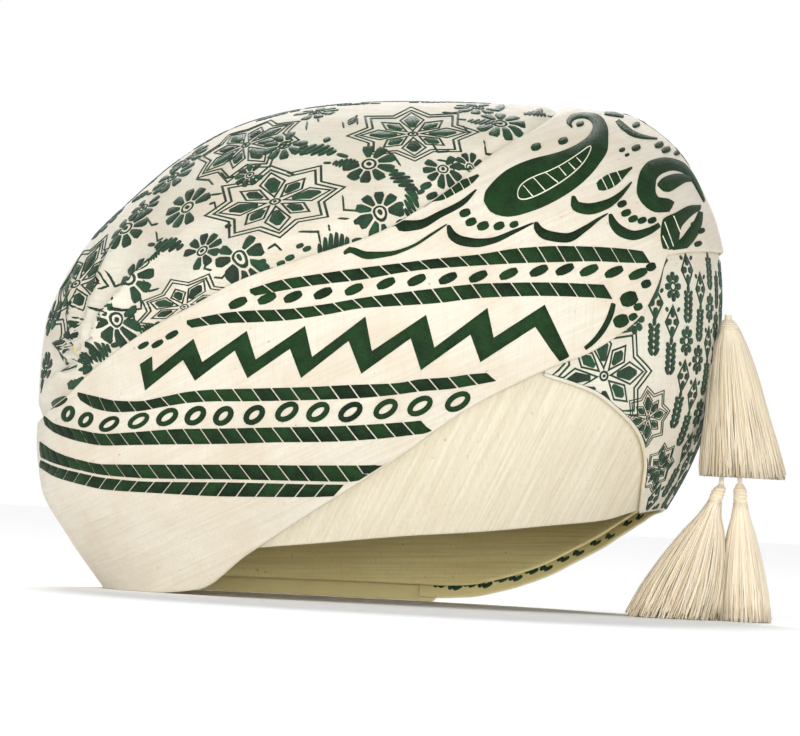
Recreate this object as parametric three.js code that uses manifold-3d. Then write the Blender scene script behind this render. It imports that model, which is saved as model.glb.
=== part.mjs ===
// A pre-tied turban: an inner cap, a plain side panel, printed cloth over the crown and round the
// back, a printed wrap round the front, and three tassels, two of them on cords.
// Millimetres, +Z up. The forehead faces -X, the nape +X, and the side shown most faces -Y.
import * as THREE from 'three';
import { mergeVertices } from 'three/addons/utils/BufferGeometryUtils.js';
import Module from 'manifold-3d';

// Driving sizes of the outer form
const bodyHeight = 193;
const bodyLength = 262;
const bodyWidth = 208;
const coreHeight = 70; // height of the point inside from which every surface is measured
const planPower = 2.3; // 2 makes a level section an ellipse, more makes it squarer
const middleShare = 0.55; // where a level section is widest, from its front

// Driving sizes of the cloth
const clothWall = 1.4;
const capWall = 1.6;
const layerGap = 0.8;
const overlap = 12; // how far a cloth runs on under the one that covers it
const capInset = 2; // how far the cap's rim lies above the rim of the cloth
const pressRun = 26; // width of the stretch where the wrap lies down on the side panel
const seatRun = 8; // width of the stretch where the crown rises out from under the wrap
const lipHeight = 4; // how far the crown bulges over the wrap at the front
const lipRun = 34;
const tuckDepth = 1.8;
const tuckStart = 14; // how far from the gather the tucks begin
const tuckReach = 105; // how far they run out from it
const tuckCount = 9;

// Driving sizes of the tassels and cords
const knotAzimuth = 347;
const knotHeight = 115;
const tasselSeat = 0.3; // clearance between the knot and the cloth, and at a cord's ends
const upperTassel = { length: 62, skirtRadius: 17, headRadius: 4, leanX: 8, leanY: -15 };
const leftTassel = { length: 52, skirtRadius: 16.5, headRadius: 2.4, leanX: -16, leanY: -4 };
const rightTassel = { length: 52, skirtRadius: 11, headRadius: 2.4, leanX: 6, leanY: 1 };
const lowerSpread = 7; // between the heads of the two lower tassels
const cordDiameter = 1.8;
const boreRadius = 6.5; // hollow of the upper tassel, where the cords run
const lockCount = 12;
const lockRidge = 0.07; // a lock's ridge, as a share of the radius

// Fineness of the faceted surfaces
const columnCount = 60;
const columnStep = 360 / columnCount;
const solverSteps = 40;
const topElevation = 90;

const rad = THREE.MathUtils.degToRad;
const deg = THREE.MathUtils.radToDeg;
const lerp = THREE.MathUtils.lerp;
const smoothstep = THREE.MathUtils.smoothstep;

// Level sections from the top down: height as a share of bodyHeight, reach to the front and to the
// back as shares of bodyLength, and reach to a side as a share of half bodyWidth
const sections = [
  { height: 1.0, front: -0.137, back: 0.137, side: 0 },
  { height: 0.995, front: 0.046, back: 0.286, side: 0.29 },
  { height: 0.969, front: 0.191, back: 0.332, side: 0.5 },
  { height: 0.922, front: 0.29, back: 0.374, side: 0.66 },
  { height: 0.855, front: 0.363, back: 0.408, side: 0.79 },
  { height: 0.777, front: 0.424, back: 0.435, side: 0.89 },
  { height: 0.694, front: 0.481, back: 0.45, side: 0.955 },
  { height: 0.611, front: 0.519, back: 0.454, side: 0.99 },
  { height: 0.508, front: 0.544, back: 0.454, side: 1.0 },
  { height: 0.404, front: 0.548, back: 0.445, side: 0.98 },
  { height: 0.3, front: 0.548, back: 0.42, side: 0.94 },
  { height: 0.197, front: 0.538, back: 0.382, side: 0.885 },
  { height: 0.093, front: 0.492, back: 0.332, side: 0.81 },
  { height: 0.0, front: 0.439, back: 0.286, side: 0.75 },
].map((row) => ({ ...row, fall: Math.sqrt(1 - row.height) }));

// Edges go once round the head by azimuth in degrees: 0 nape, 90 far side, 180 forehead, 270 near side.
// Rim of the whole turban, as shares of bodyHeight
const rimEdge = [
  { azimuth: 0, height: 0.205 },
  { azimuth: 12, height: 0.197 },
  { azimuth: 23, height: 0.16 },
  { azimuth: 30, height: 0.124 },
  { azimuth: 38, height: 0.09 },
  { azimuth: 46, height: 0.057 },
  { azimuth: 59, height: 0.022 },
  { azimuth: 70, height: 0.004 },
  { azimuth: 80, height: 0.0 },
  { azimuth: 150, height: 0.0 },
  { azimuth: 180, height: 0.012 },
  { azimuth: 200, height: 0.035 },
  { azimuth: 215, height: 0.062 },
  { azimuth: 230, height: 0.083 },
  { azimuth: 244, height: 0.098 },
  { azimuth: 269, height: 0.124 },
  { azimuth: 289, height: 0.141 },
  { azimuth: 308, height: 0.162 },
  { azimuth: 323, height: 0.178 },
  { azimuth: 334, height: 0.2 },
  { azimuth: 345, height: 0.207 },
  { azimuth: 360, height: 0.205 },
];

// Lower edge of the front wrap: along the floor at the forehead, up across the near side, over the nape
const wrapLowerEdge = [
  { azimuth: 0, height: 0.73 },
  { azimuth: 20, height: 0.725 },
  { azimuth: 36, height: 0.69 },
  { azimuth: 50, height: 0.6 },
  { azimuth: 62, height: 0.43 },
  { azimuth: 72, height: 0.2 },
  { azimuth: 81, height: 0.0 },
  { azimuth: 209, height: 0.0 },
  { azimuth: 220, height: 0.01 },
  { azimuth: 233, height: 0.084 },
  { azimuth: 245, height: 0.153 },
  { azimuth: 268, height: 0.29 },
  { azimuth: 276, height: 0.348 },
  { azimuth: 284, height: 0.402 },
  { azimuth: 299, height: 0.489 },
  { azimuth: 305, height: 0.529 },
  { azimuth: 315, height: 0.616 },
  { azimuth: 320, height: 0.693 },
  { azimuth: 324, height: 0.72 },
  { azimuth: 340, height: 0.727 },
  { azimuth: 360, height: 0.73 },
];

// Upper edge of the front wrap, as elevation in degrees seen from the core, where it meets the crown
const wrapUpperEdge = [
  { azimuth: 0, elevation: 66.3 },
  { azimuth: 15, elevation: 66 },
  { azimuth: 30, elevation: 64.1 },
  { azimuth: 54, elevation: 57.5 },
  { azimuth: 71, elevation: 49.5 },
  { azimuth: 86, elevation: 41 },
  { azimuth: 102, elevation: 33 },
  { azimuth: 118, elevation: 24.5 },
  { azimuth: 134, elevation: 13.5 },
  { azimuth: 150, elevation: 3 },
  { azimuth: 168, elevation: -2.5 },
  { azimuth: 184, elevation: -4 },
  { azimuth: 199, elevation: -2 },
  { azimuth: 209, elevation: 3 },
  { azimuth: 219, elevation: 9 },
  { azimuth: 226, elevation: 13.5 },
  { azimuth: 234, elevation: 20.5 },
  { azimuth: 245, elevation: 27 },
  { azimuth: 261, elevation: 34 },
  { azimuth: 276, elevation: 42 },
  { azimuth: 289, elevation: 50 },
  { azimuth: 306, elevation: 57.5 },
  { azimuth: 330, elevation: 64.1 },
  { azimuth: 345, elevation: 66 },
  { azimuth: 360, elevation: 66.3 },
];

// Free edge of the back wrap over the side panel, from its tip down to the rim
const backTipAzimuth = 297;
const backFarAzimuth = 445;
const backFreeEdge = [
  { azimuth: 297, height: 0.462 },
  { azimuth: 308, height: 0.433 },
  { azimuth: 314, height: 0.401 },
  { azimuth: 321, height: 0.355 },
  { azimuth: 326, height: 0.301 },
  { azimuth: 329, height: 0.25 },
  { azimuth: 333, height: 0.203 },
];
const panelStartAzimuth = 215;
const panelEndAzimuth = 340;

// Azimuths between which the crown bulges over the wrap
const lipStart = 184;
const lipFull = 210;
const lipFade = 235;
const lipEnd = 285;

// Azimuths between which the wrap lies down on the side panel
const pressStart = 226;
const pressFull = 242;
const pressFade = 284;
const pressEnd = 294;

// Where the tucks of the crown run together
const gather = { azimuth: 199, elevation: -2 };

// Rows of each cloth, as shares of the way up. Those of the crown start above its bulge.
const crownTopRows = [0.2, 0.42, 0.66, 0.86];
const capRows = [0, 0.08, 0.2, 0.35, 0.5, 0.65, 0.8, 0.92];
const wrapRows = [0, 0.12, 0.25, 0.375, 0.5, 0.625, 0.75, 0.875, 1];
const backRows = [0, 0.14, 0.28, 0.42, 0.57, 0.71, 0.86, 1];
const panelRows = [0, 0.2, 0.4, 0.6, 0.8, 1];

// A tassel from its top down: share of its length, and its radius between that of the head (0) and
// that of the skirt's end (1), where a negative share draws it in at the neck
const tasselRows = [
  { along: 0.0, flare: -0.16, locks: 0 },
  { along: 0.05, flare: 0.0, locks: 0 },
  { along: 0.12, flare: 0.01, locks: 0 },
  { along: 0.17, flare: -0.07, locks: 0.3 },
  { along: 0.24, flare: 0.12, locks: 0.6 },
  { along: 0.4, flare: 0.37, locks: 0.8 },
  { along: 0.62, flare: 0.66, locks: 1 },
  { along: 0.84, flare: 0.9, locks: 1 },
  { along: 1.0, flare: 1.0, locks: 1 },
];

// Value of a column at a key, by a monotone cubic that never overshoots its rows
function readTable(rows, key, column, at) {
  const last = rows.length - 1;
  const clamped = Math.min(Math.max(at, rows[0][key]), rows[last][key]);
  let i = 0;
  while (i < last - 1 && clamped > rows[i + 1][key]) {
    i += 1;
  }
  const slope = (k) => (rows[k + 1][column] - rows[k][column]) / (rows[k + 1][key] - rows[k][key]);
  const tangent = (k) => {
    if (k === 0 || k === last) {
      return slope(Math.min(k, last - 1));
    }
    const before = slope(k - 1);
    const after = slope(k);
    return before * after <= 0 ? 0 : (2 * before * after) / (before + after);
  };
  const width = rows[i + 1][key] - rows[i][key];
  const t = (clamped - rows[i][key]) / width;
  const startWeight = 2 * t ** 3 - 3 * t ** 2 + 1;
  const startPull = (t ** 3 - 2 * t ** 2 + t) * width * tangent(i);
  const endPull = (t ** 3 - t ** 2) * width * tangent(i + 1);
  return startWeight * rows[i][column] + startPull + (1 - startWeight) * rows[i + 1][column] + endPull;
}

// True where a point lies inside the outer form
function isInside(x, y, z) {
  if (z > bodyHeight) {
    return false;
  }
  const fall = Math.sqrt(1 - Math.max(z, 0) / bodyHeight);
  const front = readTable(sections, 'fall', 'front', fall) * bodyLength;
  const back = readTable(sections, 'fall', 'back', fall) * bodyLength;
  const side = (readTable(sections, 'fall', 'side', fall) * bodyWidth) / 2;
  const middle = lerp(-front, back, middleShare);
  const alongReach = x < middle ? middle + front : back - middle;
  const along = Math.abs(x - middle) / alongReach;
  return along ** planPower + (Math.abs(y) / side) ** planPower < 1;
}

// Distance at which a test along a ray turns from inside to outside
function lastInside(testAt) {
  let near = 0;
  let far = bodyLength + bodyHeight;
  for (let step = 0; step < solverSteps; step += 1) {
    const middle = (near + far) / 2;
    if (testAt(middle)) {
      near = middle;
    } else {
      far = middle;
    }
  }
  return near;
}

// Unit vector from the core towards an azimuth and an elevation
function direction(azimuth, elevation) {
  const level = Math.cos(rad(elevation));
  return new THREE.Vector3(
    level * Math.cos(rad(azimuth)),
    level * Math.sin(rad(azimuth)),
    Math.sin(rad(elevation)),
  );
}

// Distance from the core to the outer form
function reachAt(azimuth, elevation) {
  const way = direction(azimuth, elevation);
  return lastInside((r) => isInside(way.x * r, way.y * r, coreHeight + way.z * r));
}

// A point of the outer form, moved out by an offset
function surfacePoint(azimuth, elevation, offset) {
  const distance = reachAt(azimuth, elevation) + offset;
  const point = direction(azimuth, elevation).multiplyScalar(distance);
  point.z += coreHeight;
  return point;
}

// Elevation at which the outer form has a height
function elevationAtHeight(azimuth, height) {
  const level = direction(azimuth, 0);
  const radius = lastInside((r) => isInside(level.x * r, level.y * r, height));
  return deg(Math.atan2(height - coreHeight, radius));
}

function turn(azimuth) {
  return ((azimuth % 360) + 360) % 360;
}

function edgeElevation(edge, azimuth, rise = 0) {
  const share = readTable(edge, 'azimuth', 'height', turn(azimuth));
  return elevationAtHeight(azimuth, share * bodyHeight + rise);
}

// Degrees of elevation that cover a length along the surface
function spanDegrees(azimuth, elevation, length) {
  return deg(length / reachAt(azimuth, elevation));
}

function rimElevation(azimuth) {
  return edgeElevation(rimEdge, azimuth);
}

function capRimElevation(azimuth) {
  return edgeElevation(rimEdge, azimuth, capInset);
}

function wrapLowerElevation(azimuth) {
  return edgeElevation(wrapLowerEdge, azimuth);
}

function wrapUpperElevation(azimuth) {
  return readTable(wrapUpperEdge, 'azimuth', 'elevation', turn(azimuth));
}

// The back wrap ends at its free edge over the panel and at the rim elsewhere
function backLowerElevation(azimuth) {
  const lastFree = backFreeEdge[backFreeEdge.length - 1].azimuth;
  return azimuth < lastFree ? edgeElevation(backFreeEdge, azimuth) : rimElevation(azimuth);
}

function backUpperElevation(azimuth) {
  const edge = Math.max(wrapLowerElevation(azimuth), backLowerElevation(azimuth));
  return edge + spanDegrees(azimuth, edge, overlap);
}

// The side panel runs on under the wrap, and past the wrap's end under the back wrap
function panelUpperElevation(azimuth) {
  const cover = azimuth < backTipAzimuth ? wrapLowerElevation(azimuth) : backLowerElevation(azimuth);
  const edge = Math.max(cover, rimElevation(azimuth));
  return edge + spanDegrees(azimuth, edge, overlap);
}

// Offsets of the outer face of each layer, from the outside in
const layerPitch = clothWall + layerGap;
const middleOffset = -layerPitch;
const panelOffset = -2 * layerPitch;
const capOffset = -3 * layerPitch;

// The crown rises from under the wrap, bulges over it at the front, and carries the tucks
function crownOffset(azimuth, elevation) {
  const edge = wrapUpperElevation(azimuth);
  const above = rad(elevation - edge) * reachAt(azimuth, elevation);
  const rise = smoothstep(above, layerGap, seatRun);
  const around = turn(azimuth);
  const frontSide = smoothstep(around, lipStart, lipFull) * (1 - smoothstep(around, lipFade, lipEnd));
  const lip = rise * (1 - smoothstep(above, seatRun, lipRun));
  return middleOffset * (1 - rise) + frontSide * lipHeight * lip + rise * tuckOffset(azimuth, elevation);
}

// Tucks fan out from the gather like ribs
function tuckOffset(azimuth, elevation) {
  const scale = reachAt(azimuth, elevation);
  const across = rad(turn(azimuth) - gather.azimuth) * Math.cos(rad(elevation)) * scale;
  const up = rad(elevation - gather.elevation) * scale;
  const distance = Math.hypot(across, up);
  const nearSide = smoothstep(turn(azimuth), lipStart, lipFull);
  const nearFade = smoothstep(distance, 0, tuckStart);
  const farFade = 1 - smoothstep(distance, tuckReach / 3, tuckReach);
  return tuckDepth * nearSide * nearFade * farFade * Math.cos(tuckCount * Math.atan2(up, across));
}

// The wrap lies down on the side panel along its free lower edge
function wrapOffset(azimuth, elevation) {
  const around = turn(azimuth);
  const overPanel = smoothstep(around, pressStart, pressFull) * (1 - smoothstep(around, pressFade, pressEnd));
  const above = rad(elevation - wrapLowerElevation(azimuth)) * reachAt(azimuth, elevation);
  return middleOffset * overPanel * (1 - smoothstep(above, 0, pressRun));
}

// Azimuths of a cloth's columns: the shared ones between its ends, and the ends
function columnsBetween(start, end) {
  const columns = [start];
  for (let k = Math.floor(start / columnStep) + 1; k * columnStep < end; k += 1) {
    columns.push(k * columnStep);
  }
  columns.push(end);
  return columns;
}

function columnsAround() {
  return Array.from({ length: columnCount }, (_, k) => k * columnStep);
}

// Elevations of a column's rows between a lower and an upper edge
function rowsBetween(rows, lower, upper) {
  return (azimuth) => {
    const from = lower(azimuth);
    const to = upper(azimuth);
    return rows.map((share) => lerp(from, to, share));
  };
}

// The crown's rows lie close together where it rises and bulges, and then go on to the top
function crownElevations(azimuth) {
  const edge = wrapUpperElevation(azimuth);
  const nearEdge = [-overlap, 0, seatRun / 2, seatRun, lipRun / 2, lipRun].map(
    (length) => edge + spanDegrees(azimuth, edge, length),
  );
  const start = nearEdge[nearEdge.length - 1];
  return nearEdge.concat(crownTopRows.map((share) => lerp(start, topElevation, share)));
}

// A closed wall of cloth. Its columns run up at each azimuth through the elevations of its rows, a
// ring closes on itself, and a dome ends in a point at the top.
function clothWallGeometry({ columns, elevations, offset, wall, isRing, isDome }) {
  const positions = [];
  const indices = [];
  const rowTotal = elevations(columns[0]).length;
  const addGrid = (inset) => {
    for (const azimuth of columns) {
      for (const elevation of elevations(azimuth)) {
        const point = surfacePoint(azimuth, elevation, offset(azimuth, elevation) - inset);
        positions.push(point.x, point.y, point.z);
      }
    }
  };
  addGrid(0);
  addGrid(wall);
  const innerStart = columns.length * rowTotal;
  const outer = (column, row) => (column % columns.length) * rowTotal + row;
  const inner = (column, row) => innerStart + outer(column, row);
  const quad = (a, b, c, d) => indices.push(a, b, c, a, c, d);
  const spans = isRing ? columns.length : columns.length - 1;
  const lastRow = rowTotal - 1;
  for (let i = 0; i < spans; i += 1) {
    for (let j = 0; j < lastRow; j += 1) {
      quad(outer(i, j), outer(i + 1, j), outer(i + 1, j + 1), outer(i, j + 1));
      quad(inner(i, j), inner(i, j + 1), inner(i + 1, j + 1), inner(i + 1, j));
    }
    quad(inner(i, 0), inner(i + 1, 0), outer(i + 1, 0), outer(i, 0));
    if (!isDome) {
      quad(outer(i, lastRow), outer(i + 1, lastRow), inner(i + 1, lastRow), inner(i, lastRow));
    }
  }
  if (!isRing) {
    for (let j = 0; j < lastRow; j += 1) {
      quad(outer(0, j), outer(0, j + 1), inner(0, j + 1), inner(0, j));
      quad(inner(spans, j), inner(spans, j + 1), outer(spans, j + 1), outer(spans, j));
    }
  }
  if (isDome) {
    const outerTop = positions.length / 3;
    const innerTop = outerTop + 1;
    for (const inset of [0, wall]) {
      const point = surfacePoint(0, topElevation, offset(0, topElevation) - inset);
      positions.push(point.x, point.y, point.z);
    }
    for (let i = 0; i < spans; i += 1) {
      indices.push(outer(i, lastRow), outer(i + 1, lastRow), outerTop);
      indices.push(inner(i + 1, lastRow), inner(i, lastRow), innerTop);
    }
  }
  return geometryFrom(positions, indices);
}

function geometryFrom(positions, indices) {
  const geometry = new THREE.BufferGeometry();
  geometry.setAttribute('position', new THREE.Float32BufferAttribute(positions, 3));
  geometry.setIndex(indices);
  return geometry;
}

// A tassel from its top point: a round head, a drawn-in neck and a skirt of locks that leans aside
function tasselGeometry(top, size) {
  const positions = [];
  const indices = [];
  const sides = lockCount * 3;
  for (const row of tasselRows) {
    const radius = Math.max(lerp(size.headRadius, size.skirtRadius, row.flare), size.headRadius / 3);
    const centreX = top.x + size.leanX * row.along;
    const centreY = top.y + size.leanY * row.along;
    for (let k = 0; k < sides; k += 1) {
      const angle = (k / sides) * Math.PI * 2;
      const ridged = radius * (1 + lockRidge * row.locks * Math.cos(lockCount * angle));
      positions.push(centreX + ridged * Math.cos(angle), centreY + ridged * Math.sin(angle));
      positions.push(top.z - size.length * row.along);
    }
  }
  const topCentre = positions.length / 3;
  positions.push(top.x, top.y, top.z);
  positions.push(top.x + size.leanX, top.y + size.leanY, top.z - size.length);
  const last = tasselRows.length - 1;
  for (let k = 0; k < sides; k += 1) {
    const next = (k + 1) % sides;
    indices.push(topCentre, k, next);
    indices.push(topCentre + 1, last * sides + next, last * sides + k);
    for (let j = 0; j < last; j += 1) {
      const upper = j * sides;
      const lower = upper + sides;
      indices.push(upper + k, lower + k, lower + next, upper + k, lower + next, upper + next);
    }
  }
  return geometryFrom(positions, indices);
}

const wasm = await Module();
wasm.setup();

// A solid for cutting, from a geometry whose vertices are shared
function solidFrom(geometry) {
  const bare = geometry.clone();
  bare.deleteAttribute('normal');
  bare.deleteAttribute('uv');
  const merged = mergeVertices(bare);
  return new wasm.Manifold(
    new wasm.Mesh({
      numProp: 3,
      vertProperties: new Float32Array(merged.attributes.position.array),
      triVerts: new Uint32Array(merged.index.array),
    }),
  );
}

function geometryOf(solid) {
  const mesh = solid.getMesh();
  return geometryFrom(Array.from(mesh.vertProperties), Array.from(mesh.triVerts));
}

// The hollow that the cords run down, wider at the skirt's end
function boreGeometry(top, foot) {
  const length = top.z - foot.z;
  const bore = new THREE.CylinderGeometry(cordDiameter * 1.5, boreRadius, length, 12);
  bore.rotateX(Math.PI / 2);
  const position = bore.attributes.position;
  for (let k = 0; k < position.count; k += 1) {
    const share = 0.5 - position.getZ(k) / length;
    const x = position.getX(k) + lerp(top.x, foot.x, share);
    const y = position.getY(k) + lerp(top.y, foot.y, share);
    position.setXYZ(k, x, y, position.getZ(k) + (top.z + foot.z) / 2);
  }
  return bore;
}

// A cord of round section along its route
function cordGeometry(route) {
  const section = new THREE.Shape();
  section.absarc(0, 0, cordDiameter / 2, 0, Math.PI * 2);
  const path = new THREE.CatmullRomCurve3(route);
  const steps = Math.ceil(path.getLength() / (cordDiameter * 2.8));
  return new THREE.ExtrudeGeometry(section, { steps, curveSegments: 4, extrudePath: path });
}

function clothMaterial(colour, roughness) {
  return new THREE.MeshStandardMaterial({ color: colour, roughness, metalness: 0 });
}

const creamCloth = clothMaterial(0xe4dcc0, 0.85);
const printedCloth = clothMaterial(0xb9c0a3, 0.85);
const liningCloth = clothMaterial(0xb3a884, 0.9);
const tasselThread = clothMaterial(0xe8dcb8, 0.7);

const turban = new THREE.Group();

function addPiece(name, geometry, material) {
  const mesh = new THREE.Mesh(geometry, material);
  mesh.name = name;
  turban.add(mesh);
  return mesh;
}

function addInnerCap() {
  const cap = clothWallGeometry({
    columns: columnsAround(),
    elevations: rowsBetween(capRows, capRimElevation, () => topElevation),
    offset: () => capOffset,
    wall: capWall,
    isRing: true,
    isDome: true,
  });
  return addPiece('inner_cap', cap, liningCloth);
}

function addSidePanel() {
  const panel = clothWallGeometry({
    columns: columnsBetween(panelStartAzimuth, panelEndAzimuth),
    elevations: rowsBetween(panelRows, rimElevation, panelUpperElevation),
    offset: () => panelOffset,
    wall: clothWall,
  });
  return addPiece('side_panel', panel, creamCloth);
}

function addCrownCloth() {
  const crown = clothWallGeometry({
    columns: columnsAround(),
    elevations: crownElevations,
    offset: crownOffset,
    wall: clothWall,
    isRing: true,
    isDome: true,
  });
  return addPiece('crown_cloth', crown, printedCloth);
}

function addBackWrap() {
  const back = clothWallGeometry({
    columns: columnsBetween(backTipAzimuth, backFarAzimuth),
    elevations: rowsBetween(backRows, backLowerElevation, backUpperElevation),
    offset: () => middleOffset,
    wall: clothWall,
  });
  return addPiece('back_wrap', back, printedCloth);
}

function addFrontWrap() {
  const wrap = clothWallGeometry({
    columns: columnsAround(),
    elevations: rowsBetween(wrapRows, wrapLowerElevation, wrapUpperElevation),
    offset: wrapOffset,
    wall: clothWall,
    isRing: true,
  });
  return addPiece('front_wrap', wrap, creamCloth);
}

// The knot's middle touches the back wrap, and the two lower tassels hang below the upper one
function tasselTops() {
  const elevation = elevationAtHeight(knotAzimuth, knotHeight);
  const seat = middleOffset + upperTassel.headRadius + tasselSeat;
  const upper = surfacePoint(knotAzimuth, elevation, seat);
  upper.z += upperTassel.length * tasselRows[2].along / 2;
  const lowerFootX = upper.x + upperTassel.leanX * 0.45;
  const lowerFootY = upper.y + upperTassel.leanY;
  const left = new THREE.Vector3(lowerFootX - lowerSpread / 2, lowerFootY, leftTassel.length);
  const right = new THREE.Vector3(lowerFootX + lowerSpread / 2, lowerFootY, rightTassel.length);
  return { upper, left, right };
}

const tops = tasselTops();

function addUpperTassel() {
  const neck = tasselRows[4].along * upperTassel.length;
  const boreTop = tops.upper.clone();
  boreTop.x += upperTassel.leanX * tasselRows[4].along;
  boreTop.y += upperTassel.leanY * tasselRows[4].along;
  boreTop.z -= neck;
  const boreFoot = new THREE.Vector3(
    (tops.left.x + tops.right.x) / 2,
    tops.left.y,
    tops.upper.z - upperTassel.length - overlap,
  );
  const skirt = solidFrom(tasselGeometry(tops.upper, upperTassel));
  const bore = solidFrom(boreGeometry(boreTop, boreFoot));
  addPiece('tassel_upper', geometryOf(skirt.subtract(bore)), tasselThread);
  return boreTop;
}

const boreTop = addUpperTassel();

// The cord's few chosen points: side steps from the straight line, by the share of its drop
const cordPoints = [
  { along: 0.0, aside: 0.0 },
  { along: 0.3, aside: 0.4 },
  { along: 0.65, aside: 0.3 },
  { along: 1.0, aside: 0.0 },
];

function cordRoute(side, tasselTop) {
  const start = boreTop.clone();
  start.x += side * cordDiameter * 0.75;
  start.z -= tasselSeat;
  const end = tasselTop.clone();
  end.z += tasselSeat;
  return cordPoints.map((row) => {
    const point = start.clone().lerp(end, row.along);
    point.x += side * row.aside;
    return point;
  });
}

const cordedPieces = [
  addPiece('tassel_lower_left', tasselGeometry(tops.left, leftTassel), tasselThread),
  addPiece('tassel_lower_right', tasselGeometry(tops.right, rightTassel), tasselThread),
  addPiece('cord_left', cordGeometry(cordRoute(-1, tops.left)), tasselThread),
  addPiece('cord_right', cordGeometry(cordRoute(1, tops.right)), tasselThread),
];

addInnerCap();
addSidePanel();
addCrownCloth();
addBackWrap();
addFrontWrap();

// The origin is under the middle of everything but what hangs on the cords
const bounds = new THREE.Box3();
for (const mesh of turban.children) {
  if (!cordedPieces.includes(mesh)) {
    bounds.expandByObject(mesh);
  }
}
const centre = bounds.getCenter(new THREE.Vector3());
turban.position.set(-centre.x, -centre.y, -bounds.min.z);

export default turban;
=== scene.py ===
"""Pre-tied turban: its cloths, stitched pattern, tassels and cords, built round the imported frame."""
import logging
from dataclasses import dataclass
from enum import Enum
from functools import cached_property
from typing import Callable, ClassVar, Sequence

import bpy
import numpy as np
from mathutils import Matrix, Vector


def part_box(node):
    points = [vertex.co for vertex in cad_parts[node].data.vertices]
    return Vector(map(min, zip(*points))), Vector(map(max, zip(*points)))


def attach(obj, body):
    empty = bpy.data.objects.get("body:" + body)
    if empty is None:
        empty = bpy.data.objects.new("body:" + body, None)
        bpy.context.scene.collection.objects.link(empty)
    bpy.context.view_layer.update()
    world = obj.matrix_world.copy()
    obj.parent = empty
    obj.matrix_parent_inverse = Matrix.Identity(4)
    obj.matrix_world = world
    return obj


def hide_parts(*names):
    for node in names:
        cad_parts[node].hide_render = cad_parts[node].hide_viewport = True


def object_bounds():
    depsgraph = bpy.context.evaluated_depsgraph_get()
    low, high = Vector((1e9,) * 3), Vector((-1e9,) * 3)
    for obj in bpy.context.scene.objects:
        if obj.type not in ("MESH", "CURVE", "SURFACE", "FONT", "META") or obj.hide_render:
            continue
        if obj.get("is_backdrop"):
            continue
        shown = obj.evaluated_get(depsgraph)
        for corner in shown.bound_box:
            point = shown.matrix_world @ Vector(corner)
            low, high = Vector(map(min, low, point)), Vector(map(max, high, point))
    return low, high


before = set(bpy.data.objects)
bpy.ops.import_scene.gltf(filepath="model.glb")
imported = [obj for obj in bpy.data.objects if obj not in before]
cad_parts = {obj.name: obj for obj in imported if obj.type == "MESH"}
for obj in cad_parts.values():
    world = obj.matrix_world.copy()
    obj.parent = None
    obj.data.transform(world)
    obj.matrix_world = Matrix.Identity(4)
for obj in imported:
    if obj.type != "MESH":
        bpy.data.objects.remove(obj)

logging.basicConfig(level=logging.INFO, format="%(name)s %(message)s")
log = logging.getLogger("turban")

Array = np.ndarray
Rows = Sequence[Sequence[float]]
Place = tuple[float, float, float]
Colour = tuple[float, float, float, float]
Offset = Callable[[Array, Array], Array]
MM = 0.001


def smoothstep(value: Array, low: float, high: float) -> Array:
    """Zero below low, one above high, and smooth between."""
    share = np.clip((value - low) / (high - low), 0, 1)
    return share * share * (3 - 2 * share)


def unit(vectors: Array) -> Array:
    """Vectors at length one."""
    return vectors / np.maximum(np.linalg.norm(vectors, axis=-1, keepdims=True), 1e-9)


def running_length(line: Array) -> Array:
    """Length along a line up to each of its points."""
    return np.concatenate([[0], np.cumsum(np.linalg.norm(np.diff(line, axis=0), axis=1))])


class Table:
    """Values against keys, read by a monotone cubic that never overshoots its rows."""

    def __init__(self, rows: Rows, column: int = 1) -> None:
        """Takes the rows' first number as key and the given column as value."""
        data = np.array(rows, float)
        self.keys = data[:, 0]
        self.values = data[:, column]
        slopes = np.diff(self.values) / np.diff(self.keys)
        before, after = slopes[:-1], slopes[1:]
        agree = before * after > 0
        mean = 2 * before * after / np.where(agree, before + after, 1)
        self.tangents = np.concatenate([slopes[:1], np.where(agree, mean, 0), slopes[-1:]])

    def __call__(self, at: Array) -> Array:
        """Values at keys, clamped to the table's ends."""
        at = np.clip(at, self.keys[0], self.keys[-1])
        i = np.clip(np.searchsorted(self.keys, at, side="right") - 1, 0, len(self.keys) - 2)
        width = self.keys[i + 1] - self.keys[i]
        t = (at - self.keys[i]) / width
        start = 2 * t**3 - 3 * t**2 + 1
        pull = (t**3 - 2 * t**2 + t) * self.tangents[i] + (t**3 - t**2) * self.tangents[i + 1]
        return start * self.values[i] + (1 - start) * self.values[i + 1] + pull * width


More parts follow.
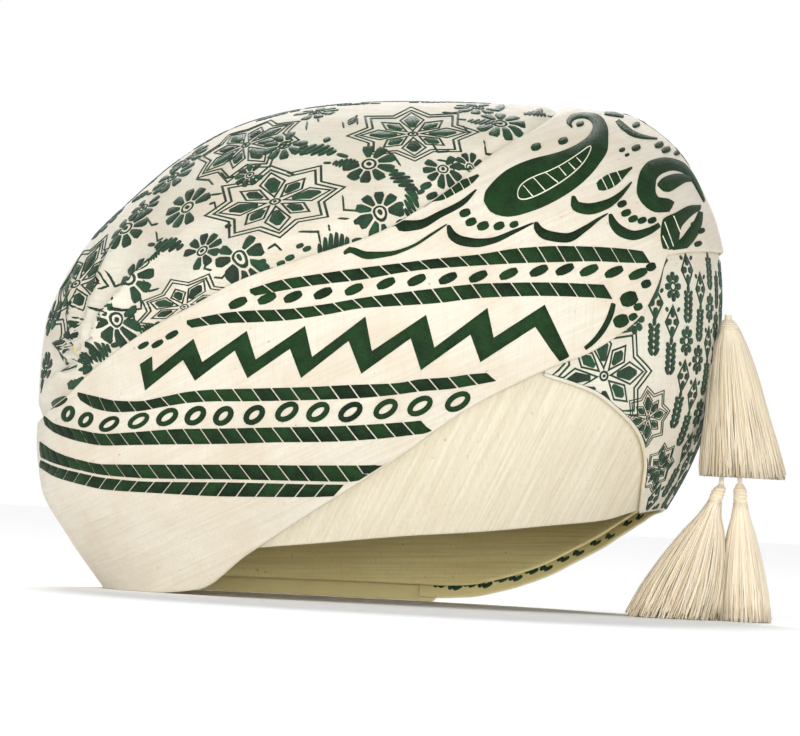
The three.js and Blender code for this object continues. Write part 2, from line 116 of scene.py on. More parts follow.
@dataclass(frozen=True)
class Form:
    """Outer form of the turban in millimetres, measured by rays from a core on its axis."""

    height: float = 193
    length: float = 262
    width: float = 208
    core: float = 70
    power: float = 2.3
    middle: float = 0.55
    lattice: float = 0.5
    lowest: float = -60
    sections: Rows = (
        (1.0, -0.137, 0.137, 0), (0.995, 0.046, 0.286, 0.29), (0.969, 0.191, 0.332, 0.5),
        (0.922, 0.29, 0.374, 0.66), (0.855, 0.363, 0.408, 0.79), (0.777, 0.424, 0.435, 0.89),
        (0.694, 0.481, 0.45, 0.955), (0.611, 0.519, 0.454, 0.99), (0.508, 0.544, 0.454, 1.0),
        (0.404, 0.548, 0.445, 0.98), (0.3, 0.548, 0.42, 0.94), (0.197, 0.538, 0.382, 0.885),
        (0.093, 0.492, 0.332, 0.81), (0.0, 0.439, 0.286, 0.75),
    )
    steps: int = 24

    @cached_property
    def tables(self) -> tuple[Table, Table, Table]:
        """Reaches to the front, the back and a side, against the fall from the top."""
        rows = [(np.sqrt(1 - row[0]), *row[1:]) for row in self.sections]
        return Table(rows, 1), Table(rows, 2), Table(rows, 3)

    @cached_property
    def reaches(self) -> Array:
        """Distances from the core to the form, on a lattice of azimuths and elevations."""
        azimuth = np.arange(0, 360 + self.lattice, self.lattice)[:, None]
        elevation = np.arange(self.lowest, 90 + self.lattice, self.lattice)[None, :]
        way = self.direction(azimuth, elevation)
        core = np.array([0, 0, self.core])
        return self.last_inside(lambda r: core + way * r[..., None], way.shape[:-1])

    @staticmethod
    def direction(azimuth: Array, elevation: Array) -> Array:
        """Unit vectors from the core, for angles in degrees."""
        turned, raised = np.broadcast_arrays(np.radians(azimuth), np.radians(elevation))
        level = np.cos(raised)
        return np.stack([level * np.cos(turned), level * np.sin(turned), np.sin(raised)], -1)

    def inside(self, points: Array) -> Array:
        """True where points lie inside the form."""
        x, y, z = np.moveaxis(points, -1, 0)
        fall = np.sqrt(1 - np.clip(z, 0, self.height) / self.height)
        front, back, side = (table(fall) for table in self.tables)
        front, back = front * self.length, back * self.length
        side = np.maximum(side * self.width / 2, 1e-6)
        middle = back * self.middle - front * (1 - self.middle)
        along = np.where(x < middle, middle + front, back - middle)
        share = (np.abs(x - middle) / along) ** self.power + (np.abs(y) / side) ** self.power
        return (share < 1) & (z <= self.height)

    def last_inside(self, point_at: Callable[[Array], Array], shape: tuple) -> Array:
        """Distances at which rays turn from inside to outside."""
        near = np.zeros(shape)
        far = np.full(shape, self.length + self.height)
        for _ in range(self.steps):
            middle = (near + far) / 2
            within = self.inside(point_at(middle))
            near = np.where(within, middle, near)
            far = np.where(within, far, middle)
        return near

    def reach(self, azimuth: Array, elevation: Array) -> Array:
        """Distances from the core to the form, between the lattice's nearest four."""
        across, up = np.broadcast_arrays(np.mod(azimuth, 360), elevation)
        column = across / self.lattice
        row = (np.clip(up, self.lowest, 90) - self.lowest) / self.lattice
        i = np.minimum(column.astype(int), self.reaches.shape[0] - 2)
        j = np.minimum(row.astype(int), self.reaches.shape[1] - 2)
        s, t = column - i, row - j
        low = self.reaches[i, j] * (1 - s) + self.reaches[i + 1, j] * s
        high = self.reaches[i, j + 1] * (1 - s) + self.reaches[i + 1, j + 1] * s
        return low * (1 - t) + high * t

    def point(self, azimuth: Array, elevation: Array, offset: Array = 0.0) -> Array:
        """Points of the form in millimetres, moved out by an offset."""
        distance = self.reach(azimuth, elevation) + offset
        return self.direction(azimuth, elevation) * distance[..., None] + (0, 0, self.core)

    def elevation_at(self, azimuth: Array, height: Array) -> Array:
        """Elevations at which the form has the given heights."""
        azimuth, height = np.broadcast_arrays(np.asarray(azimuth, float), height)
        way = self.direction(azimuth, np.zeros_like(azimuth))
        lift = np.stack([np.zeros_like(azimuth), np.zeros_like(azimuth), height], -1)
        radius = self.last_inside(lambda r: lift + way * r[..., None], azimuth.shape)
        return np.degrees(np.arctan2(height - self.core, radius))

    def angles(self, points: Array) -> tuple[Array, Array]:
        """Azimuths and elevations of points as seen from the core."""
        x, y, z = np.moveaxis(points, -1, 0)
        azimuth = np.mod(np.degrees(np.arctan2(y, x)), 360)
        return azimuth, np.degrees(np.arctan2(z - self.core, np.hypot(x, y)))


@dataclass(frozen=True)
class Edges:
    """Edges of the cloths once round the head, by azimuth: 0 nape, 90 far, 180 forehead, 270 near."""

    form: Form
    overlap: float = 12
    cap_inset: float = 2
    rim_rows: Rows = (
        (0, 0.205), (12, 0.197), (23, 0.16), (30, 0.124), (38, 0.09), (46, 0.057), (59, 0.022),
        (70, 0.004), (80, 0.0), (150, 0.0), (180, 0.012), (200, 0.035), (215, 0.062), (230, 0.083),
        (244, 0.098), (269, 0.124), (289, 0.141), (308, 0.162), (323, 0.178), (334, 0.2),
        (345, 0.207), (360, 0.205),
    )
    wrap_lower_rows: Rows = (
        (0, 0.73), (20, 0.725), (36, 0.69), (50, 0.6), (62, 0.43), (72, 0.2), (81, 0.0), (209, 0.0),
        (220, 0.01), (233, 0.084), (245, 0.153), (268, 0.29), (276, 0.348), (284, 0.402),
        (299, 0.482), (305, 0.508), (311, 0.545), (316, 0.585), (320, 0.645), (324, 0.712),
        (340, 0.727), (360, 0.73),
    )
    wrap_upper_rows: Rows = (
        (0, 66.3), (15, 66), (30, 64.1), (54, 57.5), (71, 49.5), (86, 41), (102, 33), (118, 24.5),
        (134, 13.5), (150, 3), (168, -2.5), (184, -3), (199, 0.5), (209, 6.5), (219, 13),
        (226, 17.5), (234, 23), (245, 28.5), (261, 35.5), (276, 44.5), (289, 52), (306, 57.5),
        (330, 64.1), (345, 66), (360, 66.3),
    )
    back_free_rows: Rows = (
        (297, 0.462),
        (308, 0.433),
        (314, 0.401),
        (321, 0.355),
        (326, 0.301),
        (329, 0.25),
        (333, 0.203),
    )
    back_tip: float = 297
    back_far: float = 445

    def height_edge(self, rows: Rows, azimuth: Array, rise: float = 0) -> Array:
        """Elevations of an edge whose rows give its height as a share of the form's."""
        share = Table(rows)(np.mod(azimuth, 360))
        return self.form.elevation_at(azimuth, share * self.form.height + rise)

    def span(self, azimuth: Array, elevation: Array, length: float) -> Array:
        """Degrees of elevation that cover a length along the surface."""
        return np.degrees(length / self.form.reach(azimuth, elevation))

    def rim(self, azimuth: Array) -> Array:
        """Rim of the whole turban."""
        return self.height_edge(self.rim_rows, azimuth)

    def cap_rim(self, azimuth: Array) -> Array:
        """Rim of the cap, a little inside the turban's."""
        return self.height_edge(self.rim_rows, azimuth, self.cap_inset)

    @cached_property
    def wrap_lower_line(self) -> tuple[Array, Array]:
        """Free lower edge of the front wrap, each half degree."""
        azimuth = np.arange(0, 360.5, 0.5)
        return azimuth, self.height_edge(self.wrap_lower_rows, azimuth)

    def wrap_lower(self, azimuth: Array) -> Array:
        """Free lower edge of the front wrap."""
        return np.interp(np.mod(azimuth, 360), *self.wrap_lower_line)

    def wrap_upper(self, azimuth: Array) -> Array:
        """Upper edge of the front wrap, where it meets the crown."""
        return Table(self.wrap_upper_rows)(np.mod(azimuth, 360))

    def crown_lower(self, azimuth: Array) -> Array:
        """Lower edge of the crown, hidden under the front wrap."""
        edge = self.wrap_upper(azimuth)
        return edge - self.span(azimuth, edge, self.overlap)

    def back_lower(self, azimuth: Array) -> Array:
        """Free edge of the back wrap over the panel, and the rim elsewhere."""
        free = self.height_edge(self.back_free_rows, azimuth)
        return np.where(azimuth < self.back_free_rows[-1][0], free, self.rim(azimuth))

    def back_upper(self, azimuth: Array) -> Array:
        """Top of the back wrap, hidden under the front wrap."""
        edge = np.maximum(self.wrap_lower(azimuth), self.back_lower(azimuth))
        return edge + self.span(azimuth, edge, self.overlap)

    def panel_upper(self, azimuth: Array) -> Array:
        """Top of the side panel, hidden under the wraps."""
        cover = np.where(azimuth < self.back_tip, self.wrap_lower(azimuth), self.back_lower(azimuth))
        edge = np.maximum(cover, self.rim(azimuth))
        return edge + self.span(azimuth, edge, self.overlap)


@dataclass(frozen=True)
class Relief:
    """How each cloth lies off the outer form: its layer, the crown's bulge and tucks, the wrap's press."""

    form: Form
    edges: Edges
    pitch: float = 2.2
    press_run: float = 26
    seat_start: float = 0.8
    seat_run: float = 8
    lip_height: float = 4
    lip_run: float = 34
    lip_azimuths: tuple[float, float, float, float] = (184, 210, 235, 285)
    press_azimuths: tuple[float, float, float, float] = (226, 242, 284, 294)
    gather: tuple[float, float] = (207, 6)
    tuck_depth: float = 2.8
    tuck_start: float = 7
    tuck_reach: float = 80
    tuck_count: int = 11
    tuck_azimuths: tuple[float, float] = (186, 200)

    @staticmethod
    def plateau(value: Array, ends: tuple[float, float, float, float]) -> Array:
        """One between the two middle values, zero beyond the outer ones."""
        return smoothstep(value, ends[0], ends[1]) * (1 - smoothstep(value, ends[2], ends[3]))

    def level(self, layer: int) -> Offset:
        """Constant offset of a layer below the outermost."""
        depth = layer * self.pitch
        return lambda azimuth, elevation: np.full(np.broadcast(azimuth, elevation).shape, -depth)

    def tucks(self, azimuth: Array, elevation: Array) -> Array:
        """Ribs that fan out from the gather."""
        scale = self.form.reach(azimuth, elevation)
        around = np.mod(azimuth, 360)
        across = np.radians(around - self.gather[0]) * np.cos(np.radians(elevation)) * scale
        up = np.radians(elevation - self.gather[1]) * scale
        distance = np.hypot(across, up)
        near = smoothstep(around, *self.tuck_azimuths) * smoothstep(distance, 0, self.tuck_start)
        fade = near * (1 - smoothstep(distance, self.tuck_reach / 4, self.tuck_reach))
        crease = 1 - 2 * np.abs(np.sin(self.tuck_count / 2 * np.arctan2(up, across))) ** 0.7
        return self.tuck_depth * fade * crease

    def above(self, edge: Array, azimuth: Array, elevation: Array) -> Array:
        """Length along the form from an edge up to an elevation."""
        return np.radians(elevation - edge) * self.form.reach(azimuth, elevation)

    def crown(self, azimuth: Array, elevation: Array) -> Array:
        """The crown with its bulge and its tucks, which start where it has risen from the wrap."""
        above = self.above(self.edges.wrap_upper(azimuth), azimuth, elevation)
        rise = smoothstep(above, self.seat_start, self.seat_run)
        return self.crown_bulge(azimuth, elevation) + rise * self.tucks(azimuth, elevation)

    def crown_bulge(self, azimuth: Array, elevation: Array) -> Array:
        """The crown rises from under the wrap and bulges over it at the front."""
        above = self.above(self.edges.wrap_upper(azimuth), azimuth, elevation)
        rise = smoothstep(above, self.seat_start, self.seat_run)
        lip = rise * (1 - smoothstep(above, self.seat_run, self.lip_run))
        bulge = self.plateau(np.mod(azimuth, 360), self.lip_azimuths) * self.lip_height * lip
        return bulge - self.pitch * (1 - rise)

    def wrap(self, azimuth: Array, elevation: Array) -> Array:
        """The front wrap lies down on the side panel along its free edge."""
        above = self.above(self.edges.wrap_lower(azimuth), azimuth, elevation)
        over_panel = self.plateau(np.mod(azimuth, 360), self.press_azimuths)
        return -self.pitch * over_panel * (1 - smoothstep(above, 0, self.press_run))


class Placing:
    """Turns millimetres of the form into metres of the row frame and makes pieces from them."""

    def __init__(self, form: Form) -> None:
        """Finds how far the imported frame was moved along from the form's axis."""
        widest = form.point(np.arange(0, 360, 6.0)[:, None], np.arange(-40, 60, 1.0)[None, :])
        self.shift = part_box("front_wrap")[0][0] / MM - widest[..., 0].min()
        log.info("frame shift %.3f mm", self.shift)

    def place(self, points: Array) -> Array:
        """Millimetres about the form's axis to metres in the frame."""
        return (np.asarray(points, float) + (self.shift, 0, 0)) * MM

    def piece(self, name: str, points: Array, faces: Array, material: bpy.types.Material,
              shade: Array) -> bpy.types.Object:
        """Makes a smooth piece that rides on the root body.

        Args:
            name: the piece's name.
            points: vertices in millimetres.
            faces: rows of four vertex numbers, of which a triangle repeats one next to itself.
            material: its finish.
            shade: one number for each vertex.

        Returns:
            The new object.
        """
        mesh = bpy.data.meshes.new(name)
        volume = self.volume(points, faces)
        faces = faces if volume > 0 else faces[:, ::-1]
        kept = np.ones(faces.shape, bool)
        kept[:, 1:] = faces[:, 1:] != faces[:, :-1]
        corners = kept.sum(1)
        mesh.vertices.add(len(points))
        mesh.loops.add(int(corners.sum()))
        mesh.polygons.add(len(faces))
        mesh.vertices.foreach_set("co", self.place(points).ravel())
        mesh.loops.foreach_set("vertex_index", faces[kept])
        mesh.polygons.foreach_set("loop_start", np.cumsum(corners) - corners)
        mesh.polygons.foreach_set("use_smooth", np.ones(len(faces), bool))
        mesh.materials.append(material)
        mesh.attributes.new("shade", "FLOAT", "POINT").data.foreach_set("value", shade)
        mesh.update(calc_edges=True)
        piece = bpy.data.objects.new(name, mesh)
        bpy.context.scene.collection.objects.link(piece)
        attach(piece, "root")
        log.info("%s: %d triangles, volume %.0f mm3", name, (corners - 2).sum(), abs(volume))
        return piece

    @staticmethod
    def volume(points: Array, faces: Array) -> float:
        """Volume in a closed surface, negative where it faces inward."""
        total = 0.0
        for k in range(1, faces.shape[1] - 1):
            a, b, c = points[faces[:, 0]], points[faces[:, k]], points[faces[:, k + 1]]
            total += float(np.einsum("ij,ij->", a, np.cross(b, c))) / 6
        return total


class Signal:
    """A shader socket, with the operators that add its Math nodes."""

    def __init__(self, graph: "Graph", socket: bpy.types.NodeSocket) -> None:
        """Keeps the socket and the graph that it belongs to."""
        self.graph = graph
        self.socket = socket

    def maths(self, operation: str, *values: "Signal | float") -> "Signal":
        """Result of a Math node on values."""
        return self.graph.node("ShaderNodeMath", {"operation": operation}, dict(enumerate(values)))

    def __add__(self, other: "Signal | float") -> "Signal":
        """Sum."""
        return self.maths("ADD", self, other)

    __radd__ = __add__

    def __mul__(self, other: "Signal | float") -> "Signal":
        """Product."""
        return self.maths("MULTIPLY", self, other)

    def __pow__(self, other: float) -> "Signal":
        """Power."""
        return self.maths("POWER", self, other)

    def ramp(self, low: float, high: float) -> "Signal":
        """Share of the way from low to high, clamped."""
        values = {"Value": self, "From Min": low, "From Max": high}
        return self.graph.node("ShaderNodeMapRange", {"clamp": True}, values)


class Graph:
    """Nodes of one material, ending in a Principled shader."""

    def __init__(self, name: str) -> None:
        """Starts an empty material."""
        self.material = bpy.data.materials.new(name)
        self.material.use_nodes = True
        self.tree = self.material.node_tree
        self.tree.nodes.clear()

    def node(self, kind: str, settings: dict, values: dict, output: int | str = 0) -> Signal:
        """Adds a node.

        Args:
            kind: the node's type.
            settings: its properties, set first.
            values: its sockets' values or links, by name, identifier or number.
            output: which output to return.

        Returns:
            The output as a signal.
        """
        node = self.tree.nodes.new(kind)
        for key, value in settings.items():
            setattr(node, key, value)
        for key, value in values.items():
            socket = node.inputs[key] if isinstance(key, int) else self.find(node.inputs, key)
            if isinstance(value, Signal):
                self.tree.links.new(value.socket, socket)
            else:
                socket.default_value = value
        found = node.outputs[output] if isinstance(output, int) else self.find(node.outputs, output)
        return Signal(self, found)

    @staticmethod
    def find(sockets: bpy.types.bpy_prop_collection, key: str) -> bpy.types.NodeSocket:
        """The socket with this identifier, or else this name."""
        named = [s for s in sockets if s.identifier == key] or [s for s in sockets if s.name == key]
        return named[0]

    def place(self) -> Signal:
        """Object coordinates."""
        return self.node("ShaderNodeTexCoord", {}, {}, "Object")

    def stretched(self, turn: Sequence[float], scale: Sequence[float]) -> Signal:
        """Object coordinates turned by degrees, then scaled."""
        turned = self.node("ShaderNodeMapping", {"vector_type": "POINT"}, {
            "Vector": self.place(), "Rotation": tuple(np.radians(turn)), "Scale": (1, 1, 1)})
        return self.node("ShaderNodeMapping", {"vector_type": "POINT"}, {
            "Vector": turned, "Scale": tuple(scale)})

    def noise(self, vector: Signal, scale: float, detail: float = 3, roughness: float = 0.5) -> Signal:
        """Fractal noise between 0 and 1."""
        values = {"Vector": vector, "Scale": scale, "Detail": detail, "Roughness": roughness}
        return self.node("ShaderNodeTexNoise", {}, values)

    def shade(self) -> Signal:
        """The number that each vertex of a piece carries."""
        return self.node("ShaderNodeAttribute", {"attribute_name": "shade"}, {}, "Fac")

    def mix(self, share: Signal | float, first: Signal | tuple, second: Signal | tuple) -> Signal:
        """Colour between two others."""
        values = {"Factor_Float": share, "A_Color": first, "B_Color": second}
        return self.node("ShaderNodeMix", {"data_type": "RGBA"}, values, "Result_Color")

    def bump(self, height: Signal, depth: float) -> Signal:
        """Normal of a relief whose height is a share of a depth in metres."""
        return self.node("ShaderNodeBump", {}, {"Height": height, "Distance": depth, "Strength": 1.0})

    def finish(self, values: dict) -> bpy.types.Material:
        """Adds the Principled shader and the output."""
        shader = self.node("ShaderNodeBsdfPrincipled", {}, values)
        output = self.tree.nodes.new("ShaderNodeOutputMaterial")
        self.tree.links.new(shader.socket, output.inputs["Surface"])
        return self.material


class Grain(Enum):
    """Way in which a cloth's slubs run: a turn in degrees, then the fineness along each axis."""

    WEAVE = ((0, 0, 0), (90, 90, 1100))
    SLANTED = ((0, 27, 0), (20, 30, 900))
    DIAGONAL = ((0, -24, 0), (900, 60, 26))
    LEVEL = ((0, 3, 0), (22, 22, 1100))


@dataclass(frozen=True)
class ClothFinish:
    """Slubbed cloth: a base colour, mottling, a grain and a fine weave."""

    name: str
    base: Colour
    mottle: Colour
    grain_colour: Colour
    grain: Grain
    mottle_share: float = 0.5
    grain_share: float = 0.4
    inside: Colour | None = None
    relief: float = 0.00022

    def build(self) -> bpy.types.Material:
        """Makes the material."""
        graph = Graph(self.name)
        soft = graph.noise(graph.place(), 38, 4, 0.6).ramp(0.42, 0.66)
        fine = graph.noise(graph.place(), 900, 2)
        slub = graph.noise(graph.stretched(*self.grain.value), 1, 3, 0.65).ramp(0.36, 0.7)
        warp = graph.noise(graph.stretched((0, 0, 0), (1300, 1300, 50)), 1, 3)
        speck = graph.noise(graph.place(), 420, 3, 0.6).ramp(0.68, 0.76)
        colour = graph.mix(soft * self.mottle_share, self.base, self.mottle)
        colour = graph.mix(slub * self.grain_share, colour, self.grain_colour)
        colour = graph.mix(warp.ramp(0.5, 0.75) * 0.35, colour, self.grain_colour)
        colour = graph.mix(speck * 0.5, colour, (0.2, 0.15, 0.08, 1))
        if self.inside is not None:
            colour = graph.mix(graph.shade(), colour, self.inside)
        height = slub * 0.5 + warp * 0.25 + fine * 0.25
        return graph.finish({
            "Base Color": colour,
            "Roughness": 0.75 + slub * 0.15,
            "Normal": graph.bump(height, self.relief),
            "Sheen Weight": 0.15,
            "Sheen Roughness": 0.5,
            "Specular IOR Level": 0.25,
        })


@dataclass(frozen=True)
class StitchFinish:
    """Dark thread laid in close satin stitches, darker in some motifs than in others."""

    name: str = "embroidery_thread"
    light: Colour = (0.009, 0.058, 0.02, 1)
    dark: Colour = (0.008, 0.02, 0.01, 1)
    glint: Colour = (0.09, 0.22, 0.11, 1)
    sheen: float = 0.1
    gloss: float = 0.3

    def build(self) -> bpy.types.Material:
        """Makes the material."""
        graph = Graph(self.name)
        patch = graph.noise(graph.place(), 160, 3, 0.6).ramp(0.35, 0.65)
        thread = graph.noise(graph.place(), 1500, 2).ramp(0.3, 0.7)
        tone = (graph.shade() * 0.55 + patch * 0.45).ramp(0.15, 0.85)
        colour = graph.mix(tone, self.light, self.dark)
        colour = graph.mix((thread * 0.35) ** 2.0, colour, self.glint)
        return graph.finish({
            "Base Color": colour,
            "Roughness": 0.62,
            "Normal": graph.bump(thread, 0.0002),
            "Sheen Weight": self.sheen,
            "Specular IOR Level": self.gloss,
        })


@dataclass(frozen=True)
class ThreadFinish:
    """Silky tassel thread, with each strand a little darker or lighter: at random, and darker toward the
    tassel's middle as painted shade.
    """

    name: str = "tassel_thread"
    light: Colour = (0.86, 0.78, 0.63, 1)
    deep: Colour = (0.66, 0.53, 0.33, 1)

    def build(self) -> bpy.types.Material:
        """Makes the material."""
        graph = Graph(self.name)
        colour = graph.mix(graph.shade(), self.light, self.deep)
        return graph.finish({
            "Base Color": colour,
            "Roughness": 0.42,
            "Specular IOR Level": 0.4,
            "Sheen Weight": 0.1,
        })


def grid_faces(columns: int, rows: int, closed_columns: bool, closed_rows: bool) -> Array:
    """Quads of a grid of vertices whose number is column times rows plus row.

    Args:
        columns: number of columns.
        rows: number of rows in each.
        closed_columns: whether the last column joins the first.
        closed_rows: whether the last row joins the first.

    Returns:
        One row of four vertex numbers for each quad.
    """
    i = np.arange(columns if closed_columns else columns - 1)[:, None]
    j = np.arange(rows if closed_rows else rows - 1)[None, :]
    i2, j2 = (i + 1) % columns, (j + 1) % rows
    corners = [i * rows + j, i2 * rows + j, i2 * rows + j2, i * rows + j2]
    return np.stack(np.broadcast_arrays(*corners), -1).reshape(-1, 4)


def fan_faces(first: Array, second: Array, pole: int) -> Array:
    """Triangles from pairs of vertices to one pole, which each names twice."""
    tip = np.full(len(first), pole)
    return np.stack([first, second, tip, tip], 1)


@dataclass(frozen=True)
class Cloth:
    """A closed wall of cloth between two edges, with rounded hems."""

    name: str
    form: Form
    edges: Edges
    placing: Placing
    slot: str
    finish: ClothFinish
    flat: tuple[float, float]
    under: str | None
    offset: Offset
    lower: Callable[[Array], Array]
    upper: Callable[[Array], Array] | None
    start: float = 0
    end: float = 360
    guide: Offset | None = None
    wall: float = 1.4
    columns: int = 360
    rows: int = 90
    inner_rows: int = 10
    hem_drop: float = 0.4
    hem_clear: float = 0.9

    @property
    def is_ring(self) -> bool:
        """Whether it goes all the way round."""
        return self.end - self.start == 360

    @property
    def is_dome(self) -> bool:
        """Whether it closes over the top."""
        return self.upper is None

    def surface(self, azimuth: Array, elevation: Array, inset: Array = 0.0) -> Array:
        """Points of its outer face, moved in."""
        return self.form.point(azimuth, elevation, self.offset(azimuth, elevation) - inset)

    @cached_property
    def limits(self) -> tuple[Array, Array, Array]:
        """Lowest and highest elevation where thread may lie, each degree of azimuth."""
        azimuth = np.arange(self.start, self.end + 1, 1.0)
        low = self.lower(azimuth)
        high = np.full(len(azimuth), 90.0) if self.is_dome else self.upper(azimuth)
        margin = self.edges.span(azimuth, low, self.hem_clear)
        return azimuth, low + margin, high - (0 if self.is_dome else margin)

    def trim(self, targets: Array) -> tuple[Array, float]:
        """Pulls targets inside the cloth's edges.

        Args:
            targets: points in millimetres.

        Returns:
            The points as seen from the core, and the share of them that lay outside.
        """
        azimuth, elevation = self.form.angles(targets)
        around = np.where(azimuth < self.start, azimuth + 360, azimuth)
        line, low, high = self.limits
        kept = np.clip(elevation, np.interp(around, line, low), np.interp(around, line, high))
        outside = (kept != elevation) | (around > self.end)
        return self.form.point(azimuth, kept), float(outside.mean())

    def snap(self, targets: Array, lift: Array) -> Array:
        """Points on its outer face, in line with targets from the core, moved out by a lift."""
        azimuth, elevation = self.form.angles(targets)
        return self.surface(azimuth, elevation, -lift)

    def profile(self, azimuth: Array) -> tuple[Array, Array]:
        """Elevation and inset of each column's points, down the outer face and up the inner."""
        count = len(azimuth)
        low = self.lower(azimuth)[:, None]
        half = self.edges.span(azimuth, low[:, 0], self.wall / 2)[:, None]
        low = low - self.hem_drop * half
        high = np.full((count, 1), 90.0) if self.is_dome else self.upper(azimuth)[:, None]
        top = high - (0 if self.is_dome else half)
        outer = np.linspace(0, 1, self.rows + 1 if self.is_dome else self.rows)[None, :]
        inner = np.linspace(0, 1, self.inner_rows + 1 if self.is_dome else self.inner_rows)[None, :]
        if self.is_dome:
            outer, inner = outer[:, 1:], inner[:, :-1]
        arc = np.radians([45, 90, 135])[None, :]
        under = low + half - half * np.sin(arc)
        parts = [top + (low + half - top) * outer, under, low + half + (top - low - half) * inner]
        insets = [0 * outer, self.wall / 2 * (1 - np.cos(arc)), self.wall + 0 * inner]
        if not self.is_dome:
            parts.append(top + half * np.sin(arc))
            insets.append(self.wall / 2 * (1 + np.cos(arc)))
        widened = [np.broadcast_to(part, (count, part.shape[1])) for part in parts]
        inset = np.broadcast_to(np.concatenate(insets, 1), (count, sum(p.shape[1] for p in parts)))
        return np.concatenate(widened, 1), inset

    def build(self) -> bpy.types.Object:
        """Makes the cloth in place of the CAD node of its name."""
        ends = 1 - self.is_ring
        azimuth = self.start + (self.end - self.start) * np.arange(self.columns) / (self.columns - ends)
        elevation, inset = self.profile(azimuth)
        rows = elevation.shape[1]
        wide = np.broadcast_to(azimuth[:, None], elevation.shape)
        points = self.surface(wide, elevation, inset).reshape(-1, 3)
        within = smoothstep(inset, 0.2 * self.wall, 0.8 * self.wall).ravel()
        faces = [grid_faces(self.columns, rows, self.is_ring, not self.is_dome)]
        if self.is_dome:
            poles = self.surface(np.zeros(2), np.full(2, 90.0), np.array([0, self.wall]))
            column = np.arange(self.columns)
            after = (column + 1) % self.columns
            faces.append(fan_faces(after * rows, column * rows, len(points)))
            faces.append(fan_faces((column + 1) * rows - 1, (after + 1) * rows - 1, len(points) + 1))
            points = np.concatenate([points, poles])
            within = np.concatenate([within, [0, 1]])
        elif not self.is_ring:
            faces += self.end_caps(rows)
        piece = self.placing.piece(f"{self.name}_sheet", points, np.concatenate(faces),
                                   self.finish.build(), within)
        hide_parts(self.name)
        return piece

    def end_caps(self, rows: int) -> list[Array]:
        """Quads that close the first and last column between the outer and the inner face."""
        outer_rows = np.linspace(0, self.rows - 1, self.rows).astype(int)
        start = self.rows + 3
        inner_rows = start + np.round(
            (1 - outer_rows / (self.rows - 1)) * (self.inner_rows - 1)).astype(int)
        hem = [self.rows, self.rows + 1, self.rows + 2]
        end = start + self.inner_rows
        caps = []
        for base, flip in ((0, False), ((self.columns - 1) * rows, True)):
            quads = [[outer_rows[k], outer_rows[k + 1], inner_rows[k + 1], inner_rows[k]]
                     for k in range(self.rows - 1)]
            quads.append([self.rows - 1, hem[0], hem[2], start])
            quads.append([hem[0], hem[1], hem[2], hem[2]])
            quads.append([0, end + 2, end, end - 1])
            quads.append([end + 2, end + 1, end, end])
            made = np.array(quads) + base
            caps.append(made if flip else made[:, ::-1])
        return caps


@dataclass(frozen=True)
class Sight:
    """Lines of sight through the photo's pixels, for what the photo shows of the near side."""

    studio: "Studio"
    placing: Placing
    pixels: tuple[float, float] = (800, 736)
    depth: float = 200
    steps: int = 16

    def trace(self, cloth: Cloth, marks: Array) -> Array:
        """Points where the lines through pixels meet a cloth.

        Args:
            cloth: the cloth that is looked at.
            marks: pixel across and down, in the last axis.

        Returns:
            Points in millimetres about the form's axis.
        """
        right, up, ahead = self.studio.axes()
        pitch = self.studio.frame_width / self.pixels[0]
        across = (marks[..., :1] - self.pixels[0] / 2) * pitch
        raised = (self.pixels[1] / 2 - marks[..., 1:]) * pitch
        eye = np.array(self.studio.stand, float) - (self.placing.shift, 0, 0)
        distance = np.linalg.norm(np.array(self.studio.aim, float) - self.studio.stand)
        way = unit(ahead * distance + right * across + up * raised)
        core = np.array([0, 0, cloth.form.core], float)
        offset = cloth.guide or cloth.offset
        far = ((core - eye) * way).sum(-1)
        near = far - self.depth
        for _ in range(self.steps):
            middle = (near + far) / 2
            point = eye + way * middle[..., None]
            azimuth, elevation = cloth.form.angles(point)
            reach = cloth.form.reach(azimuth, elevation) + offset(azimuth, elevation)
            within = np.linalg.norm(point - core, axis=-1) < reach
            far = np.where(within, middle, far)
            near = np.where(within, near, middle)
        return eye + way * far[..., None]


